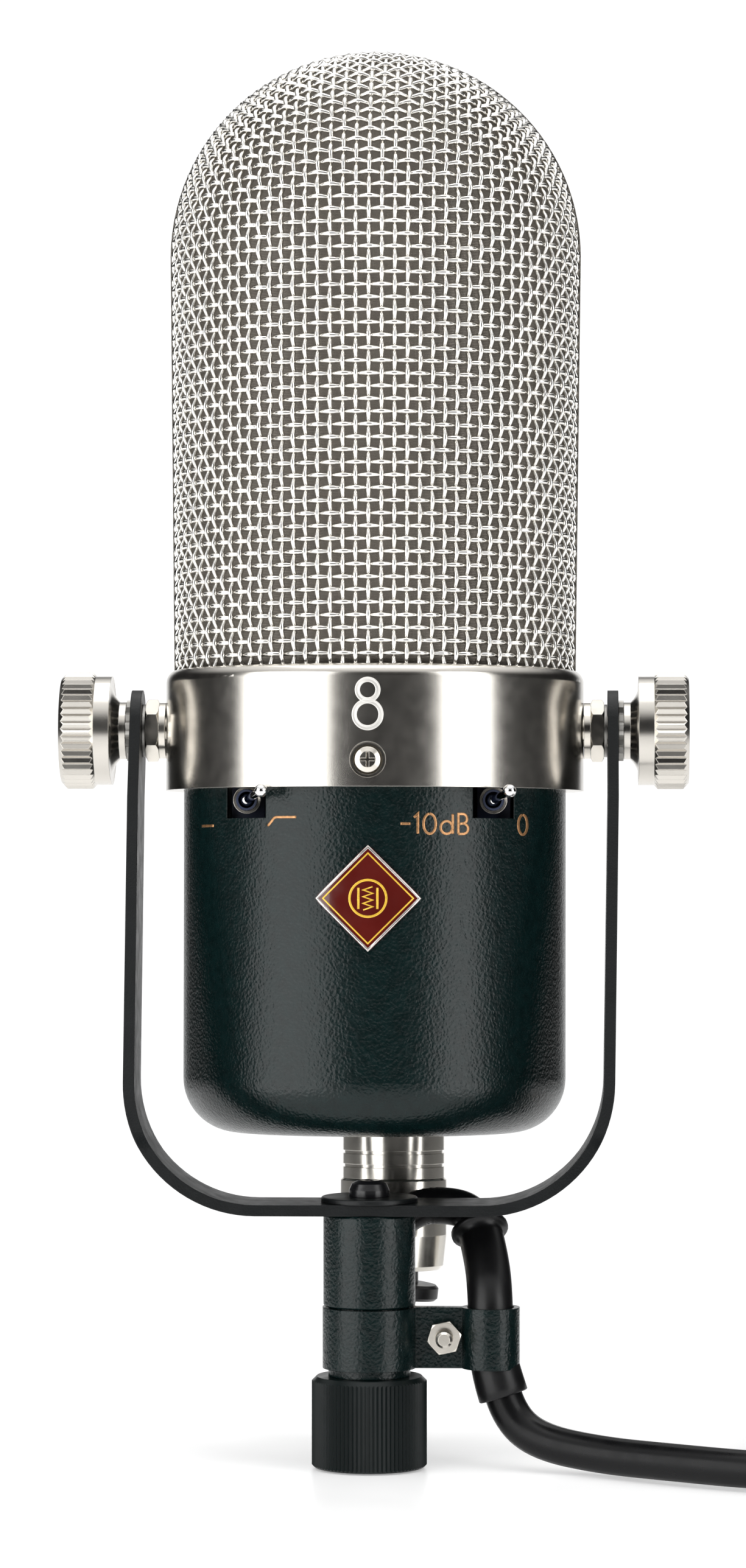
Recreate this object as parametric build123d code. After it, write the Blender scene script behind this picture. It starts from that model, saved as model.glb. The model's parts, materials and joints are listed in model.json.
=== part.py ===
"""Side-address ribbon microphone in a U yoke, with its stand adapter, cable clip and lead.

Millimetres. The origin is the mouth of the stand thread, on the axis of the post. +Z is up
along the post, -Y is the front of the microphone and +X is the side where the lead leaves.
"""

import os

from build123d import *
from math import acos, cos, degrees, pi, radians, sin, sqrt, tan

os.makedirs("parts", exist_ok=True)

# ---- general clearances
GAP = 0.05  # flat faces that bear on each other
RUN = 0.08  # radial clearance of a shaft that turns in its hole
FIT = 0.1  # radial clearance of a piece that only slips into its seat
PROUD = 5.0  # how far a cutting shape runs past what it cuts

# ---- stand adapter
RING_R = 10.4
RING_H = 16.4
RING_TEETH = 80
RING_TOOTH = 0.28
RING_CHAMFER = 0.9
THREAD_R = 7.5  # wall of a 5/8-27 stand thread
THREAD_LENGTH = 10.0
RING_WEB = 3.6  # top web of the ring, which turns on the journal
JOURNAL_R = 6.0
POST_R = 8.3
POST_TOP = 45.8
NECK_R = 7.4
NECK_TOP = 29.1
NECK_BOTTOM = RING_H + GAP
CLIP_RING_H = 1.0  # retaining ring under the web
CLIP_RING_R = 7.3
CLIP_RING_BORE = 5.2

# ---- yoke
STRIP_T = 2.0
STRIP_W = 15.0
ARM_X = 45.1  # outer face of an arm at the pivot
ARM_X_LOW = 43.9  # outer face where the arm meets its bend
ARM_PAD = 12.0  # how far the arm stays upright below the pivot
BEND_R = 24.0  # outside radius of the two bends
KINK_Z = 58.0  # height where the arms start to lean back
PIVOT_Y = 30.0
PIVOT_Z = 132.5
YOKE_SCREW_R = 2.0
YOKE_SCREW_HEAD_R = 3.65
YOKE_SCREW_HEAD_H = 2.9
YOKE_SCREW_LENGTH = 12.0
YOKE_WASHER_R = 8.7
YOKE_WASHER_T = 0.9

# ---- microphone body, in its own frame with the pivot at the origin
TILT = 2.5  # the head leans back by this many degrees
COLLAR_R = 38.7
COLLAR_HALF = 11.2
COLLAR_ROUND = 2.5
COLLAR_WALL = 1.35  # around the foot of the grille
SHELF_R = 30.0
SHELF_LOW = -3.0
SHELF_HIGH = 5.0
SHELL_R = 35.4
SHELL_WALL = 2.0
SHELL_BOTTOM = -74.3
SHELL_CORNER = 10.0
GRILLE_R = 38.15
GRILLE_FOOT_R = COLLAR_R - COLLAR_WALL - FIT
ARCH_Z = 88.0
MESH_T = 1.4
INNER_GAP = 1.2  # between the coarse mesh and the fine one
INNER_T = 0.5
FRAME_HALF = 1.6
GRILLE_DEPTH = MESH_T + INNER_GAP + INNER_T
FOOT_RING_H = 4.0
COLLAR_SCREW_Z = -6.4
COLLAR_SCREW_R = 1.5
COLLAR_SCREW_HEAD = 2.65
COLLAR_SINK_R = 3.2
COLLAR_SINK = 1.3
COLLAR_SCREW_LENGTH = 5.0

# ---- pivot hardware, along X
STUD_R = 3.0
STUD_IN = 30.5
STUD_OUT = 53.0
STUD_BEVEL = 0.8
WASHER_R = 5.2
WASHER_T = 1.2
NUT_AF = 10.0
LOCK_R = 4.9
LOCK_T = 0.5
STAR_R = 5.6
STAR_T = 0.9
KNOB_OUT = 58.1
KNOB_R = 10.8
KNOB_TEETH = 46
KNOB_TOOTH = 0.55
KNOB_BAND = 6.7
KNOB_SHOULDER = 2.6
KNOB_HUB_R = 5.3
KNOB_HUB_T = 1.2
KNOB_CHAMFER = 1.0

# ---- connectors
XLR_X = 3.4
XLR_Y = 6.0
XLR_R = 9.45
XLR_BORE = 8.1
XLR_END = -83.1
XLR_TOP = -62.0
XLR_FLANGE_R = 12.0
XLR_FLANGE_T = 2.0
XLR_DEPTH = 14.5
PLUG_R = 9.9
PLUG_LENGTH = 17.0
PLUG_WALL = 1.1
NOSE_R = XLR_BORE - FIT
NOSE_LENGTH = 13.8
PIN_R = 1.2
PIN_PITCH_R = 4.3
PIN_LENGTH = 12.0
LATCH_W = 5.0
LATCH_H = 7.0

# ---- switches
SWITCH_X = 22.3
SWITCH_Y = -26.0
SWITCH_Z = -13.4
SWITCH_THROW = 19.0
SWITCH_RISE = 9.0
LEVER_LENGTH = 9.5
LEVER_R = 0.7
LEVER_BALL_R = 1.2
BUSH_R = 1.9
BUSH_BORE = 1.15
SWITCH_NUT_R = 2.5
WINDOW_W = 7.3
WINDOW_H = 5.5

# ---- inside
SMALL_SCREW = 1.0
SMALL_HEAD = 1.9
CHASSIS_SCREW_R = 31.8
CHASSIS_SCREW_ANGLES = (45, 135, 225, 315)
CHASSIS_T = 2.5
RAIL_X = 26.0
RAIL_T = 3.0
RAIL_W = 6.0
RAIL_LOW = -66.0
BOARD_T = 1.6
BOARD_TOP = -24.0
BOARD_LOW = -58.0
BOARD_SCREW_X = RAIL_X + RAIL_T / 2
BOARD_SCREW_Z = (BOARD_TOP - 4, BOARD_LOW + 4)
CORE_Z = (-58.0, -28.0)
CORE_Y = (-13.0, -3.0)
MOTOR_LOW = 24.0
MOTOR_HIGH = 88.0
MOTOR_X = 20.0
MOTOR_HALF_Y = 6.0
MOTOR_BAR = 3.0
MAGNET_X = 8.2
POLE_X = 2.9
RIBBON_W = 4.8
RIBBON_T = 0.15
RIBBON_WAVE = 0.5
RIBBON_PITCH = 2.0
CLAMP_H = 5.0
CLAMP_W = 14.0
CLAMP_T = 2.4

# ---- badge
BADGE_Z = -31.2
BADGE_HALF = 9.7
BADGE_T = 0.6

# ---- lead
CORD_R = 3.4
SLEEVE_R = 4.15
SLEEVE_FLANGE_R = 5.25
SLEEVE_FLANGE_T = 1.0
CLIP_T = 1.0
CLIP_LOW = 17.9
CLIP_HIGH = 28.9
CLIP_LOOP_X = 21.9
CLIP_SCREW_X = 13.6
CLIP_SCREW_Z = 23.6
CLIP_SCREW_R = 1.5
CLIP_NUT_AF = 5.5
CLIP_NUT_T = 2.3
BOOT_RIBS = [8.4, 8.0, 7.2, 6.3]
BOOT_CORE_R = 4.6
BOOT_RIB_T = 2.9
BOOT_KNEE = 5.0
BOOT_SEAT = 3.0  # how far a boot reaches into its plug
COIL_X = 121.0
COIL_Y = 16.0
COIL_COLUMNS = 4
COIL_LAYERS = 2
COIL_MEAN_R = 37.1
LINE_PLUG_R = 9.5
LINE_PLUG_LENGTH = 46.0
LINE_BOOT_LENGTH = 26.0

# route of the lead between the microphone's plug and the sleeve
LOOP_ROUTE = [
    (-0.2, 31.4, 15.0),
    (-0.5, 31.3, 8.6),
    (-0.5, 26.3, 3.4),
    (0.0, 19.3, 3.4),
    (0.3, 14.3, 8.6),
    (-0.1, 14.0, 17.4),
    (-0.5, 12.5, 26.8),
    (-0.4, 12.7, 38.0),
    (7.4, 13.1, 45.8),
    (15.7, 13.3, 45.9),
    (19.15, 11.55, 43.8),
    (19.65, 10.15, 42.1),
]
# route of the sleeve, from its flange down through the clip
SLEEVE_ROUTE = [
    (19.65, 10.15, 42.1),
    (21.2, 5.75, 36.8),
    (21.9, 0.3, 29.6),
    (21.9, 0.0, 20.0),
    (24.2, -0.6, 13.0),
]
# route of the lead from the sleeve, over the floor, to the coil
CABLE_ROUTE = [
    (24.2, -0.6, 13.0),
    (25.6, -1.0, 8.8),
    (31.0, -3.4, 4.9),
    (42.0, -8.8, 3.4),
    (54.0, -16.8, 3.4),
    (68.0, -25.6, 3.4),
    (84.0, -30.4, 3.4),
    (102.0, -31.8, 3.4),
    (COIL_X, COIL_Y - COIL_MEAN_R - 1.5 * 2 * CORD_R, 3.4),
]
# route from the coil's last turn to the plug at the far end
TAIL_X = COIL_X + COIL_MEAN_R + 1.5 * 2 * CORD_R
TAIL_ROUTE = [
    (TAIL_X, COIL_Y, 10.2),
    (TAIL_X + 0.3, COIL_Y + 10.5, 9.9),
    (TAIL_X, COIL_Y + 21.0, LINE_PLUG_R),
    (TAIL_X, COIL_Y + 32.0, LINE_PLUG_R),
]


# ---------------------------------------------------------------- helpers
def bar(radius, low, high):
    """A cylinder on Z between two heights."""
    return Pos(0, 0, (low + high) / 2) * Cylinder(radius, high - low)


def pipe(outer, inner, low, high):
    """A hollow cylinder on Z between two heights."""
    return bar(outer, low, high) - bar(inner, low - PROUD, high + PROUD)


def block(x, y, z):
    """A box from its three pairs of limits."""
    middle = Pos((x[0] + x[1]) / 2, (y[0] + y[1]) / 2, (z[0] + z[1]) / 2)
    return middle * Box(x[1] - x[0], y[1] - y[0], z[1] - z[0])


def turned(*points):
    """A solid turned about Z from its half section, given as (radius, height) points."""
    outline = Polyline(*[(r, 0, z) for r, z in points], close=True)
    return revolve(make_face(outline), Axis.Z)


def on_body(shape):
    """Places a shape made in the microphone's frame: pivot at the origin, head upright."""
    return Pos(0, PIVOT_Y, PIVOT_Z) * Rot(-TILT, 0, 0) * shape


def on_stud(shape, side):
    """Places a shape made along +Z so that it points out along the pivot on one side."""
    return Pos(0, PIVOT_Y, PIVOT_Z) * Rot(-TILT, 0, 0) * Rot(0, 90 * side, 0) * shape


def along_y(shape):
    """Turns a shape made along +Z so that it points to the front."""
    return Rot(90, 0, 0) * shape


def toothed(radius, tooth, teeth, low, high):
    """A straight-knurled cylinder: a ring of V teeth, extruded."""
    points = []
    for i in range(teeth):
        for step, r in ((0.0, radius), (0.5, radius - tooth)):
            a = 2 * pi * (i + step) / teeth
            points.append((r * cos(a), r * sin(a)))
    return Pos(0, 0, low) * extrude(make_face(Polyline(*points, close=True)), high - low)


def hexagon(across_flats, bore, low, high):
    """A hex nut with its corners turned off on both faces."""
    corner = across_flats / sqrt(3)
    prism = Pos(0, 0, low) * extrude(RegularPolygon(corner, 6), high - low)
    crop = (corner - across_flats / 2) * 0.8
    lens = turned(
        (0, low),
        (corner - crop, low),
        (corner + 0.01, low + crop * 0.6),
        (corner + 0.01, high - crop * 0.6),
        (corner - crop, high),
        (0, high),
    )
    return (prism & lens) - bar(bore, low - PROUD, high + PROUD)


def cross_recess(radius, top, depth):
    """The cutting shape of a cross recess in a screw head."""
    slot = Box(2 * radius, radius * 0.36, depth) + Box(radius * 0.36, 2 * radius, depth)
    return Pos(0, 0, top - depth / 2 + 0.01) * slot


def pan_screw(radius, head_r, head_h, length, bevel=0.45):
    """A pan-head screw: the seat of its head at z = 0, its shank down -Z."""
    head = turned(
        (0, 0),
        (head_r, 0),
        (head_r, head_h * 0.4),
        (head_r * 0.86, head_h * 0.8),
        (head_r * 0.55, head_h),
        (0, head_h),
    )
    shank = turned(
        (0, 0.01),
        (radius, 0.01),
        (radius, bevel - length),
        (radius - bevel, -length),
        (0, -length),
    )
    return head + shank - cross_recess(head_r * 0.52, head_h, head_h * 0.5)


def route_radii(points):
    """The arc radius at each corner: 0.45 of the shorter run over the tangent of half the turn.

    An end run has only one arc on it, so it counts double.
    """
    runs = [Vector(*b) - Vector(*a) for a, b in zip(points, points[1:])]
    room = [run.length for run in runs]
    room[0] *= 2
    room[-1] *= 2
    radii = []
    for i in range(len(runs) - 1):
        half = radians(runs[i].get_angle(runs[i + 1])) / 2
        radii.append(0.45 * min(room[i], room[i + 1]) / tan(half))
    return radii


def routed(name, points, radius):
    """A round bar along straight runs and tangent arcs, with its radii and volume printed."""
    radii = route_radii(points)
    path = FilletPolyline(*points, radius=radii)
    start = Plane(origin=path @ 0, z_dir=path % 0)
    solid = sweep(start * Circle(radius), path=path)
    wanted = pi * radius**2 * path.length
    print(name, "length", round(path.length, 1), "radii", [round(r, 1) for r in radii])
    print(name, "volume", round(solid.volume, 1), "section times length", round(wanted, 1))
    return solid


# ---------------------------------------------------------------- stand adapter
def post():
    """The post: a thick top that carries the yoke, a neck for the clip and a journal."""
    web_low = RING_H - RING_WEB
    groove_low = web_low - GAP - CLIP_RING_H - GAP
    foot = groove_low - 1.6
    body = turned(
        (0, foot),
        (JOURNAL_R - 0.4, foot),
        (JOURNAL_R, foot + 0.4),
        (JOURNAL_R, groove_low),
        (CLIP_RING_BORE - GAP, groove_low),
        (CLIP_RING_BORE - GAP, web_low - GAP),
        (JOURNAL_R, web_low - GAP),
        (JOURNAL_R, NECK_BOTTOM),
        (NECK_R, NECK_BOTTOM),
        (NECK_R, NECK_TOP),
        (POST_R - 0.3, NECK_TOP),
        (POST_R, NECK_TOP + 0.3),
        (POST_R, POST_TOP - 0.4),
        (POST_R - 0.4, POST_TOP),
        (0, POST_TOP),
    )
    hole = bar(YOKE_SCREW_R + GAP, POST_TOP - YOKE_SCREW_LENGTH - 1, POST_TOP + PROUD)
    return body - hole


def stand_ring():
    """The knurled ring with the stand thread, which turns on the post."""
    knurl = toothed(RING_R, RING_TOOTH, RING_TEETH, 0, RING_H)
    c = RING_CHAMFER
    envelope = turned(
        (0, 0),
        (RING_R - c * 0.5, 0),
        (RING_R + 0.01, c * 0.5),
        (RING_R + 0.01, RING_H - c),
        (RING_R - c, RING_H),
        (0, RING_H),
    )
    cavity = turned(
        (0, -PROUD),
        (THREAD_R + 0.8, -PROUD),
        (THREAD_R + 0.8, 0),
        (THREAD_R, 0.8),
        (THREAD_R, THREAD_LENGTH),
        (THREAD_R + 0.5, THREAD_LENGTH),
        (THREAD_R + 0.5, RING_H - RING_WEB),
        (0, RING_H - RING_WEB),
    )
    return (knurl & envelope) - cavity - bar(JOURNAL_R + RUN, RING_H - RING_WEB - 1, RING_H + 1)


def retaining_ring():
    """The open ring in the journal's groove that keeps the stand ring on."""
    top = RING_H - RING_WEB - GAP
    ring = pipe(CLIP_RING_R, CLIP_RING_BORE, top - CLIP_RING_H, top)
    return ring - block((0, CLIP_RING_R + 1), (-1.5, 1.5), (0, RING_H))


# ---------------------------------------------------------------- yoke
def yoke_profile(inset, top):
    """The front outline of the U, drawn at a distance inside its outer faces."""
    upper = PIVOT_Z - ARM_PAD
    x = ARM_X - inset
    x_low = ARM_X_LOW - inset
    z = POST_TOP + GAP + inset
    pts = [(-x, top), (-x, upper), (-x_low, z), (x_low, z), (x, upper), (x, top)]
    face = make_face(Polyline(*[(px, 0, pz) for px, pz in pts], close=True))
    corners = [v for v in face.vertices() if v.Z < z + 1]
    return fillet(corners, BEND_R - inset)


def yoke_side():
    """The side outline of the strip: upright at the bar, then leaning back to the pivot."""
    low = POST_TOP - PROUD
    rise = PIVOT_Z - KINK_Z
    length = sqrt(PIVOT_Y**2 + rise**2)
    lean = degrees(acos(rise / length))
    foot = Pos(0, 0, (low + KINK_Z) / 2) * Box(4 * ARM_X, STRIP_W, KINK_Z - low)
    arm = Pos(0, PIVOT_Y / 2, KINK_Z + rise / 2) * Rot(-lean, 0, 0) * Box(4 * ARM_X, STRIP_W, length)
    kink = Pos(0, 0, KINK_Z) * Rot(0, 90, 0) * Cylinder(STRIP_W / 2, 4 * ARM_X)
    eye = Pos(0, PIVOT_Y, PIVOT_Z) * Rot(0, 90, 0) * Cylinder(STRIP_W / 2, 4 * ARM_X)
    return foot + arm + kink + eye


def yoke():
    """The cranked U yoke, bent from one strip."""
    top = PIVOT_Z + STRIP_W
    outer = extrude(yoke_profile(0, top), 4 * PIVOT_Y, both=True)
    inner = extrude(yoke_profile(STRIP_T, top + PROUD), 5 * PIVOT_Y, both=True)
    strip = (outer - inner) & yoke_side()
    pivot_hole = Pos(0, PIVOT_Y, PIVOT_Z) * Rot(0, 90, 0) * Cylinder(STUD_R + RUN, 4 * ARM_X)
    screw_hole = bar(YOKE_SCREW_R + 0.2, POST_TOP - PROUD, POST_TOP + PROUD)
    return strip - pivot_hole - screw_hole


def yoke_washer():
    low = POST_TOP + GAP + STRIP_T + GAP
    washer = pipe(YOKE_WASHER_R, YOKE_SCREW_R + FIT, low, low + YOKE_WASHER_T)
    return chamfer(washer.edges().filter_by(GeomType.CIRCLE).group_by(Axis.Z)[-1], 0.2)


def yoke_screw():
    seat = POST_TOP + GAP + STRIP_T + GAP + YOKE_WASHER_T + GAP
    screw = pan_screw(YOKE_SCREW_R, YOKE_SCREW_HEAD_R, YOKE_SCREW_HEAD_H, YOKE_SCREW_LENGTH)
    return Pos(0, 0, seat) * Rot(0, 0, 20) * screw


# ---------------------------------------------------------------- pivot hardware
def stud_stations():
    """The inner faces, along the pivot, of each piece from the collar outwards."""
    washer = COLLAR_R + GAP
    nut = washer + WASHER_T + GAP
    lock = ARM_X - STRIP_T - RUN - LOCK_T
    star = ARM_X + RUN
    knob = star + STAR_T + GAP
    return washer, nut, lock, star, knob


def both_sides(shape):
    """The same piece on the left and the right stud."""
    return Compound(children=[on_stud(shape, -1), on_stud(shape, 1)])


def pivot_studs():
    stud = turned(
        (0, STUD_IN),
        (STUD_R, STUD_IN),
        (STUD_R, STUD_OUT - STUD_BEVEL),
        (STUD_R - STUD_BEVEL, STUD_OUT),
        (0, STUD_OUT),
    )
    return both_sides(stud)


def pivot_washers():
    washer = stud_stations()[0]
    return both_sides(pipe(WASHER_R, STUD_R + GAP, washer, washer + WASHER_T))


def pivot_nuts():
    _, nut, lock, _, _ = stud_stations()
    return both_sides(hexagon(NUT_AF, STUD_R + GAP, nut, lock - GAP))


def lock_washers():
    lock = stud_stations()[2]
    return both_sides(pipe(LOCK_R, STUD_R + GAP, lock, lock + LOCK_T))


def star_washers():
    """Toothed washers between the arms and the knobs."""
    star = stud_stations()[3]
    ring = toothed(STAR_R, 0.7, 18, star, star + STAR_T)
    return both_sides(ring - bar(STUD_R + GAP, star - PROUD, star + STAR_T + PROUD))


def knob(side):
    """A clamping knob: hub, hollow cone, smooth shoulder and a coarse serrated band."""
    face = stud_stations()[4]
    band = KNOB_OUT - KNOB_BAND
    shoulder = band - KNOB_SHOULDER
    hub = face + KNOB_HUB_T
    shoulder_r = KNOB_R - KNOB_TOOTH - 0.15
    outline = [
        Line((0, 0, face), (KNOB_HUB_R, 0, face)),
        Line((KNOB_HUB_R, 0, face), (KNOB_HUB_R, 0, hub)),
        ThreePointArc(
            (KNOB_HUB_R, 0, hub),
            ((KNOB_HUB_R + shoulder_r) / 2 - 0.6, 0, (hub + shoulder) / 2 + 0.5),
            (shoulder_r, 0, shoulder),
        ),
        Line((shoulder_r, 0, shoulder), (shoulder_r, 0, band + 0.5)),
        Line((shoulder_r, 0, band + 0.5), (0, 0, band + 0.5)),
        Line((0, 0, band + 0.5), (0, 0, face)),
    ]
    neck = revolve(make_face(outline), Axis.Z)
    c = KNOB_CHAMFER
    envelope = turned(
        (0, band),
        (KNOB_R - c, band),
        (KNOB_R + 0.01, band + c),
        (KNOB_R + 0.01, KNOB_OUT - c),
        (KNOB_R - c, KNOB_OUT),
        (0, KNOB_OUT),
    )
    teeth = toothed(KNOB_R, KNOB_TOOTH, KNOB_TEETH, band, KNOB_OUT)
    bore = bar(STUD_R + RUN, face - PROUD, STUD_OUT + 0.6)
    return on_stud(neck + (teeth & envelope) - bore, side)


# ---------------------------------------------------------------- grille and collar
def bullet(inset, low):
    """The grille's outer form, drawn inside its surface: a slightly flared tube with a round top."""
    foot = GRILLE_FOOT_R - inset
    top = GRILLE_R - inset
    outline = [
        Line((0, 0, low), (foot, 0, low)),
        Line((foot, 0, low), (foot, 0, COLLAR_HALF)),
        Line((foot, 0, COLLAR_HALF), (top, 0, ARCH_Z)),
        ThreePointArc(
            (top, 0, ARCH_Z),
            (top * sin(pi / 4), 0, ARCH_Z + top * cos(pi / 4)),
            (0, 0, ARCH_Z + top),
        ),
        Line((0, 0, ARCH_Z + top), (0, 0, low)),
    ]
    return revolve(make_face(outline), Axis.Z)


def half_shell(inset, thickness, side):
    """One half, front (-1) or rear (1), of a mesh basket beside the arch frame."""
    low = SHELF_HIGH + FOOT_RING_H + GAP
    shell = bullet(inset, low) - bullet(inset + thickness, low - PROUD)
    near = FRAME_HALF + GAP
    reach = 2 * GRILLE_R
    y = (near, reach) if side > 0 else (-reach, -near)
    return on_body(shell & block((-reach, reach), y, (-reach, 4 * reach)))


def grille_front():
    return half_shell(0, MESH_T, -1)


def grille_rear():
    return half_shell(0, MESH_T, 1)


def inner_mesh_front():
    return half_shell(MESH_T + INNER_GAP, INNER_T, -1)


def inner_mesh_rear():
    return half_shell(MESH_T + INNER_GAP, INNER_T, 1)


def grille_frame():
    """The arch that both mesh halves are fixed to, with its foot ring in the collar."""
    low = SHELF_HIGH + GAP
    arch = bullet(0, low) - bullet(GRILLE_DEPTH, low - PROUD)
    reach = 2 * GRILLE_R
    arch = arch & block((-reach, reach), (-FRAME_HALF, FRAME_HALF), (0, ARCH_Z + reach))
    foot = pipe(GRILLE_FOOT_R, GRILLE_FOOT_R - GRILLE_DEPTH, low, SHELF_HIGH + FOOT_RING_H)
    return on_body(arch + foot)


def collar():
    """The satin ring between grille and shell, tapped for the studs and the two screws."""
    blank = bar(COLLAR_R, -COLLAR_HALF, COLLAR_HALF)
    blank = fillet(blank.edges().filter_by(GeomType.CIRCLE).group_by(Axis.Z)[-1], COLLAR_ROUND)
    seat_grille = bar(GRILLE_FOOT_R + FIT, SHELF_HIGH, COLLAR_HALF + PROUD)
    seat_shell = bar(SHELL_R + FIT, -COLLAR_HALF - PROUD, SHELF_LOW)
    ring = blank - seat_grille - seat_shell - bar(SHELF_R, -PROUD * 3, PROUD * 3)
    for side in (-1, 1):
        ring -= Rot(0, 90 * side, 0) * bar(STUD_R + GAP, STUD_IN - 1, COLLAR_R + PROUD)
        ring -= Rot(90 * side, 0, 0) * Pos(0, COLLAR_SCREW_Z * side, 0) * collar_screw_hole()
    for angle in CHASSIS_SCREW_ANGLES:
        x = CHASSIS_SCREW_R * cos(radians(angle))
        y = CHASSIS_SCREW_R * sin(radians(angle))
        ring -= Pos(x, y, 0) * bar(SMALL_SCREW + GAP, SHELF_LOW - 1, SHELF_HIGH + 1)
    return on_body(ring)


def collar_screw_hole():
    """The stepped hole of a collar screw, cut along +Z from outside."""
    sink = bar(COLLAR_SINK_R, COLLAR_R - COLLAR_SINK, COLLAR_R + PROUD)
    return sink + bar(COLLAR_SCREW_R + GAP, SHELL_R - SHELL_WALL - PROUD, COLLAR_R)


def collar_screws():
    """The front and rear screws, which hold the shell in the collar."""
    seat = COLLAR_R - COLLAR_SINK + GAP
    screw = Pos(0, 0, seat) * pan_screw(COLLAR_SCREW_R, COLLAR_SCREW_HEAD, 1.7, COLLAR_SCREW_LENGTH)
    pair = []
    for side in (-1, 1):
        pair.append(on_body(Rot(90 * side, 0, 0) * Pos(0, COLLAR_SCREW_Z * side, 0) * screw))
    return Compound(children=pair)


# ---------------------------------------------------------------- shell
def can(radius, low, high, corner):
    """A solid cup form: a cylinder with a rounded lower edge."""
    solid = bar(radius, low, high)
    return fillet(solid.edges().filter_by(GeomType.CIRCLE).group_by(Axis.Z)[0], corner)


def shell():
    """The lower body: a painted cup, open at the top, with two windows for the switches."""
    top = SHELF_LOW - GAP
    cup = can(SHELL_R, SHELL_BOTTOM, top, SHELL_CORNER)
    floor = SHELL_BOTTOM + SHELL_WALL
    cup -= can(SHELL_R - SHELL_WALL, floor, top + PROUD, SHELL_CORNER - SHELL_WALL)
    cup -= Pos(XLR_X, XLR_Y, 0) * bar(XLR_R + FIT, SHELL_BOTTOM - PROUD, floor + 1)
    window_low = -COLLAR_HALF - WINDOW_H
    for side in (-1, 1):
        x = (side * SWITCH_X - WINDOW_W / 2, side * SWITCH_X + WINDOW_W / 2)
        cup -= block(x, (-SHELL_R - PROUD, -SHELL_R / 3), (window_low, top + PROUD))
        hole = Rot(90 * side, 0, 0) * Pos(0, COLLAR_SCREW_Z * side, 0)
        cup -= hole * bar(COLLAR_SCREW_R + GAP, SHELL_R - 2 * SHELL_WALL, SHELL_R + 1)
    return on_body(cup)


def badge():
    """A blank enamelled diamond that follows the shell's curve."""
    h = BADGE_HALF
    face = make_face(Polyline((-h, 0), (0, -h), (h, 0), (0, h), close=True))
    face = fillet(face.vertices(), 1.0)
    plate = Pos(0, 0, BADGE_Z) * along_y(extrude(face, SHELL_R + PROUD))
    skin = pipe(SHELL_R + GAP + BADGE_T, SHELL_R + GAP, BADGE_Z - 2 * h, BADGE_Z + 2 * h)
    return on_body(plate & skin)


# ---------------------------------------------------------------- switches
def switch_place(side):
    """The place of a switch's pivot, in the microphone's frame."""
    return Pos(side * SWITCH_X, SWITCH_Y, SWITCH_Z)


def switch_bodies():
    """The two toggle switches: case, terminals and threaded bush."""
    case = block((-3.0, 3.0), (5.2, 13.0), (-5.1, 4.0))
    bush = along_y(pipe(BUSH_R, BUSH_BORE + 0.35, -5.3, 1.0))
    return Compound(children=[on_body(switch_place(side) * (case + bush)) for side in (-1, 1)])


def switch_nuts():
    """The round nuts on the bushes."""
    nut = along_y(pipe(SWITCH_NUT_R, BUSH_R + GAP, -1.9, -0.5))
    return Compound(children=[on_body(switch_place(side) * nut) for side in (-1, 1)])


def toggle(side):
    """A bat lever with a ball tip, thrown to the right."""
    lever = bar(LEVER_R, 0, LEVER_LENGTH) + Pos(0, 0, LEVER_LENGTH) * Sphere(LEVER_BALL_R)
    lever += Pos(0, 0, -0.2) * Sphere(BUSH_BORE)
    aimed = Rot(0, 0, SWITCH_THROW) * Rot(90 - SWITCH_RISE, 0, 0) * lever
    return on_body(switch_place(side) * aimed)


def switch_board():
    """The small board that both switches are soldered to."""
    high = SWITCH_Z - 5.1 - GAP
    low = high - BOARD_T
    board = block((-RAIL_X + FIT, RAIL_X - FIT), (-14, RAIL_W / 2), (low, high))
    return on_body(board + block((-25.3, 25.3), (-20.5, -13), (low, high)))


# ---------------------------------------------------------------- inside the microphone
def chassis_plate():
    """The round plate on the collar's shelf that carries motor and rails."""
    low = SHELF_HIGH + GAP
    rim = GRILLE_FOOT_R - GRILLE_DEPTH - FIT
    plate = bar(rim, low, low + CHASSIS_T) - bar(4, low - PROUD, low + CHASSIS_T + PROUD)
    for angle in CHASSIS_SCREW_ANGLES:
        x = CHASSIS_SCREW_R * cos(radians(angle))
        y = CHASSIS_SCREW_R * sin(radians(angle))
        plate -= Pos(x, y, 0) * bar(SMALL_SCREW + GAP, low - 1, low + CHASSIS_T + 1)
    return on_body(plate)


def frame_screws():
    """The small screws of the chassis plate and of the circuit board."""
    screw = pan_screw(SMALL_SCREW, SMALL_HEAD, 1.4, 6.5, 0.3)
    seat = SHELF_HIGH + GAP + CHASSIS_T + GAP
    group = []
    for angle in CHASSIS_SCREW_ANGLES:
        x = CHASSIS_SCREW_R * cos(radians(angle))
        y = CHASSIS_SCREW_R * sin(radians(angle))
        group.append(on_body(Pos(x, y, seat) * screw))
    back = Rot(-90, 0, 0) * Pos(0, 0, RAIL_W / 2 + GAP + BOARD_T + GAP) * screw
    for side in (-1, 1):
        for z in BOARD_SCREW_Z:
            group.append(on_body(Pos(side * BOARD_SCREW_X, 0, z) * back))
    return Compound(children=group)


def side_rails():
    """Two rails under the chassis plate that carry the circuit board."""
    pair = []
    for side in (-1, 1):
        x = sorted((side * RAIL_X, side * (RAIL_X + RAIL_T)))
        rail = block(x, (-RAIL_W / 2, RAIL_W / 2), (RAIL_LOW, SHELF_HIGH))
        for z in BOARD_SCREW_Z:
            hole = Rot(90, 0, 0) * bar(SMALL_SCREW + GAP, -RAIL_W, RAIL_W)
            rail -= Pos(side * BOARD_SCREW_X, 0, z) * hole
        pair.append(on_body(rail))
    return Compound(children=pair)


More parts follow.
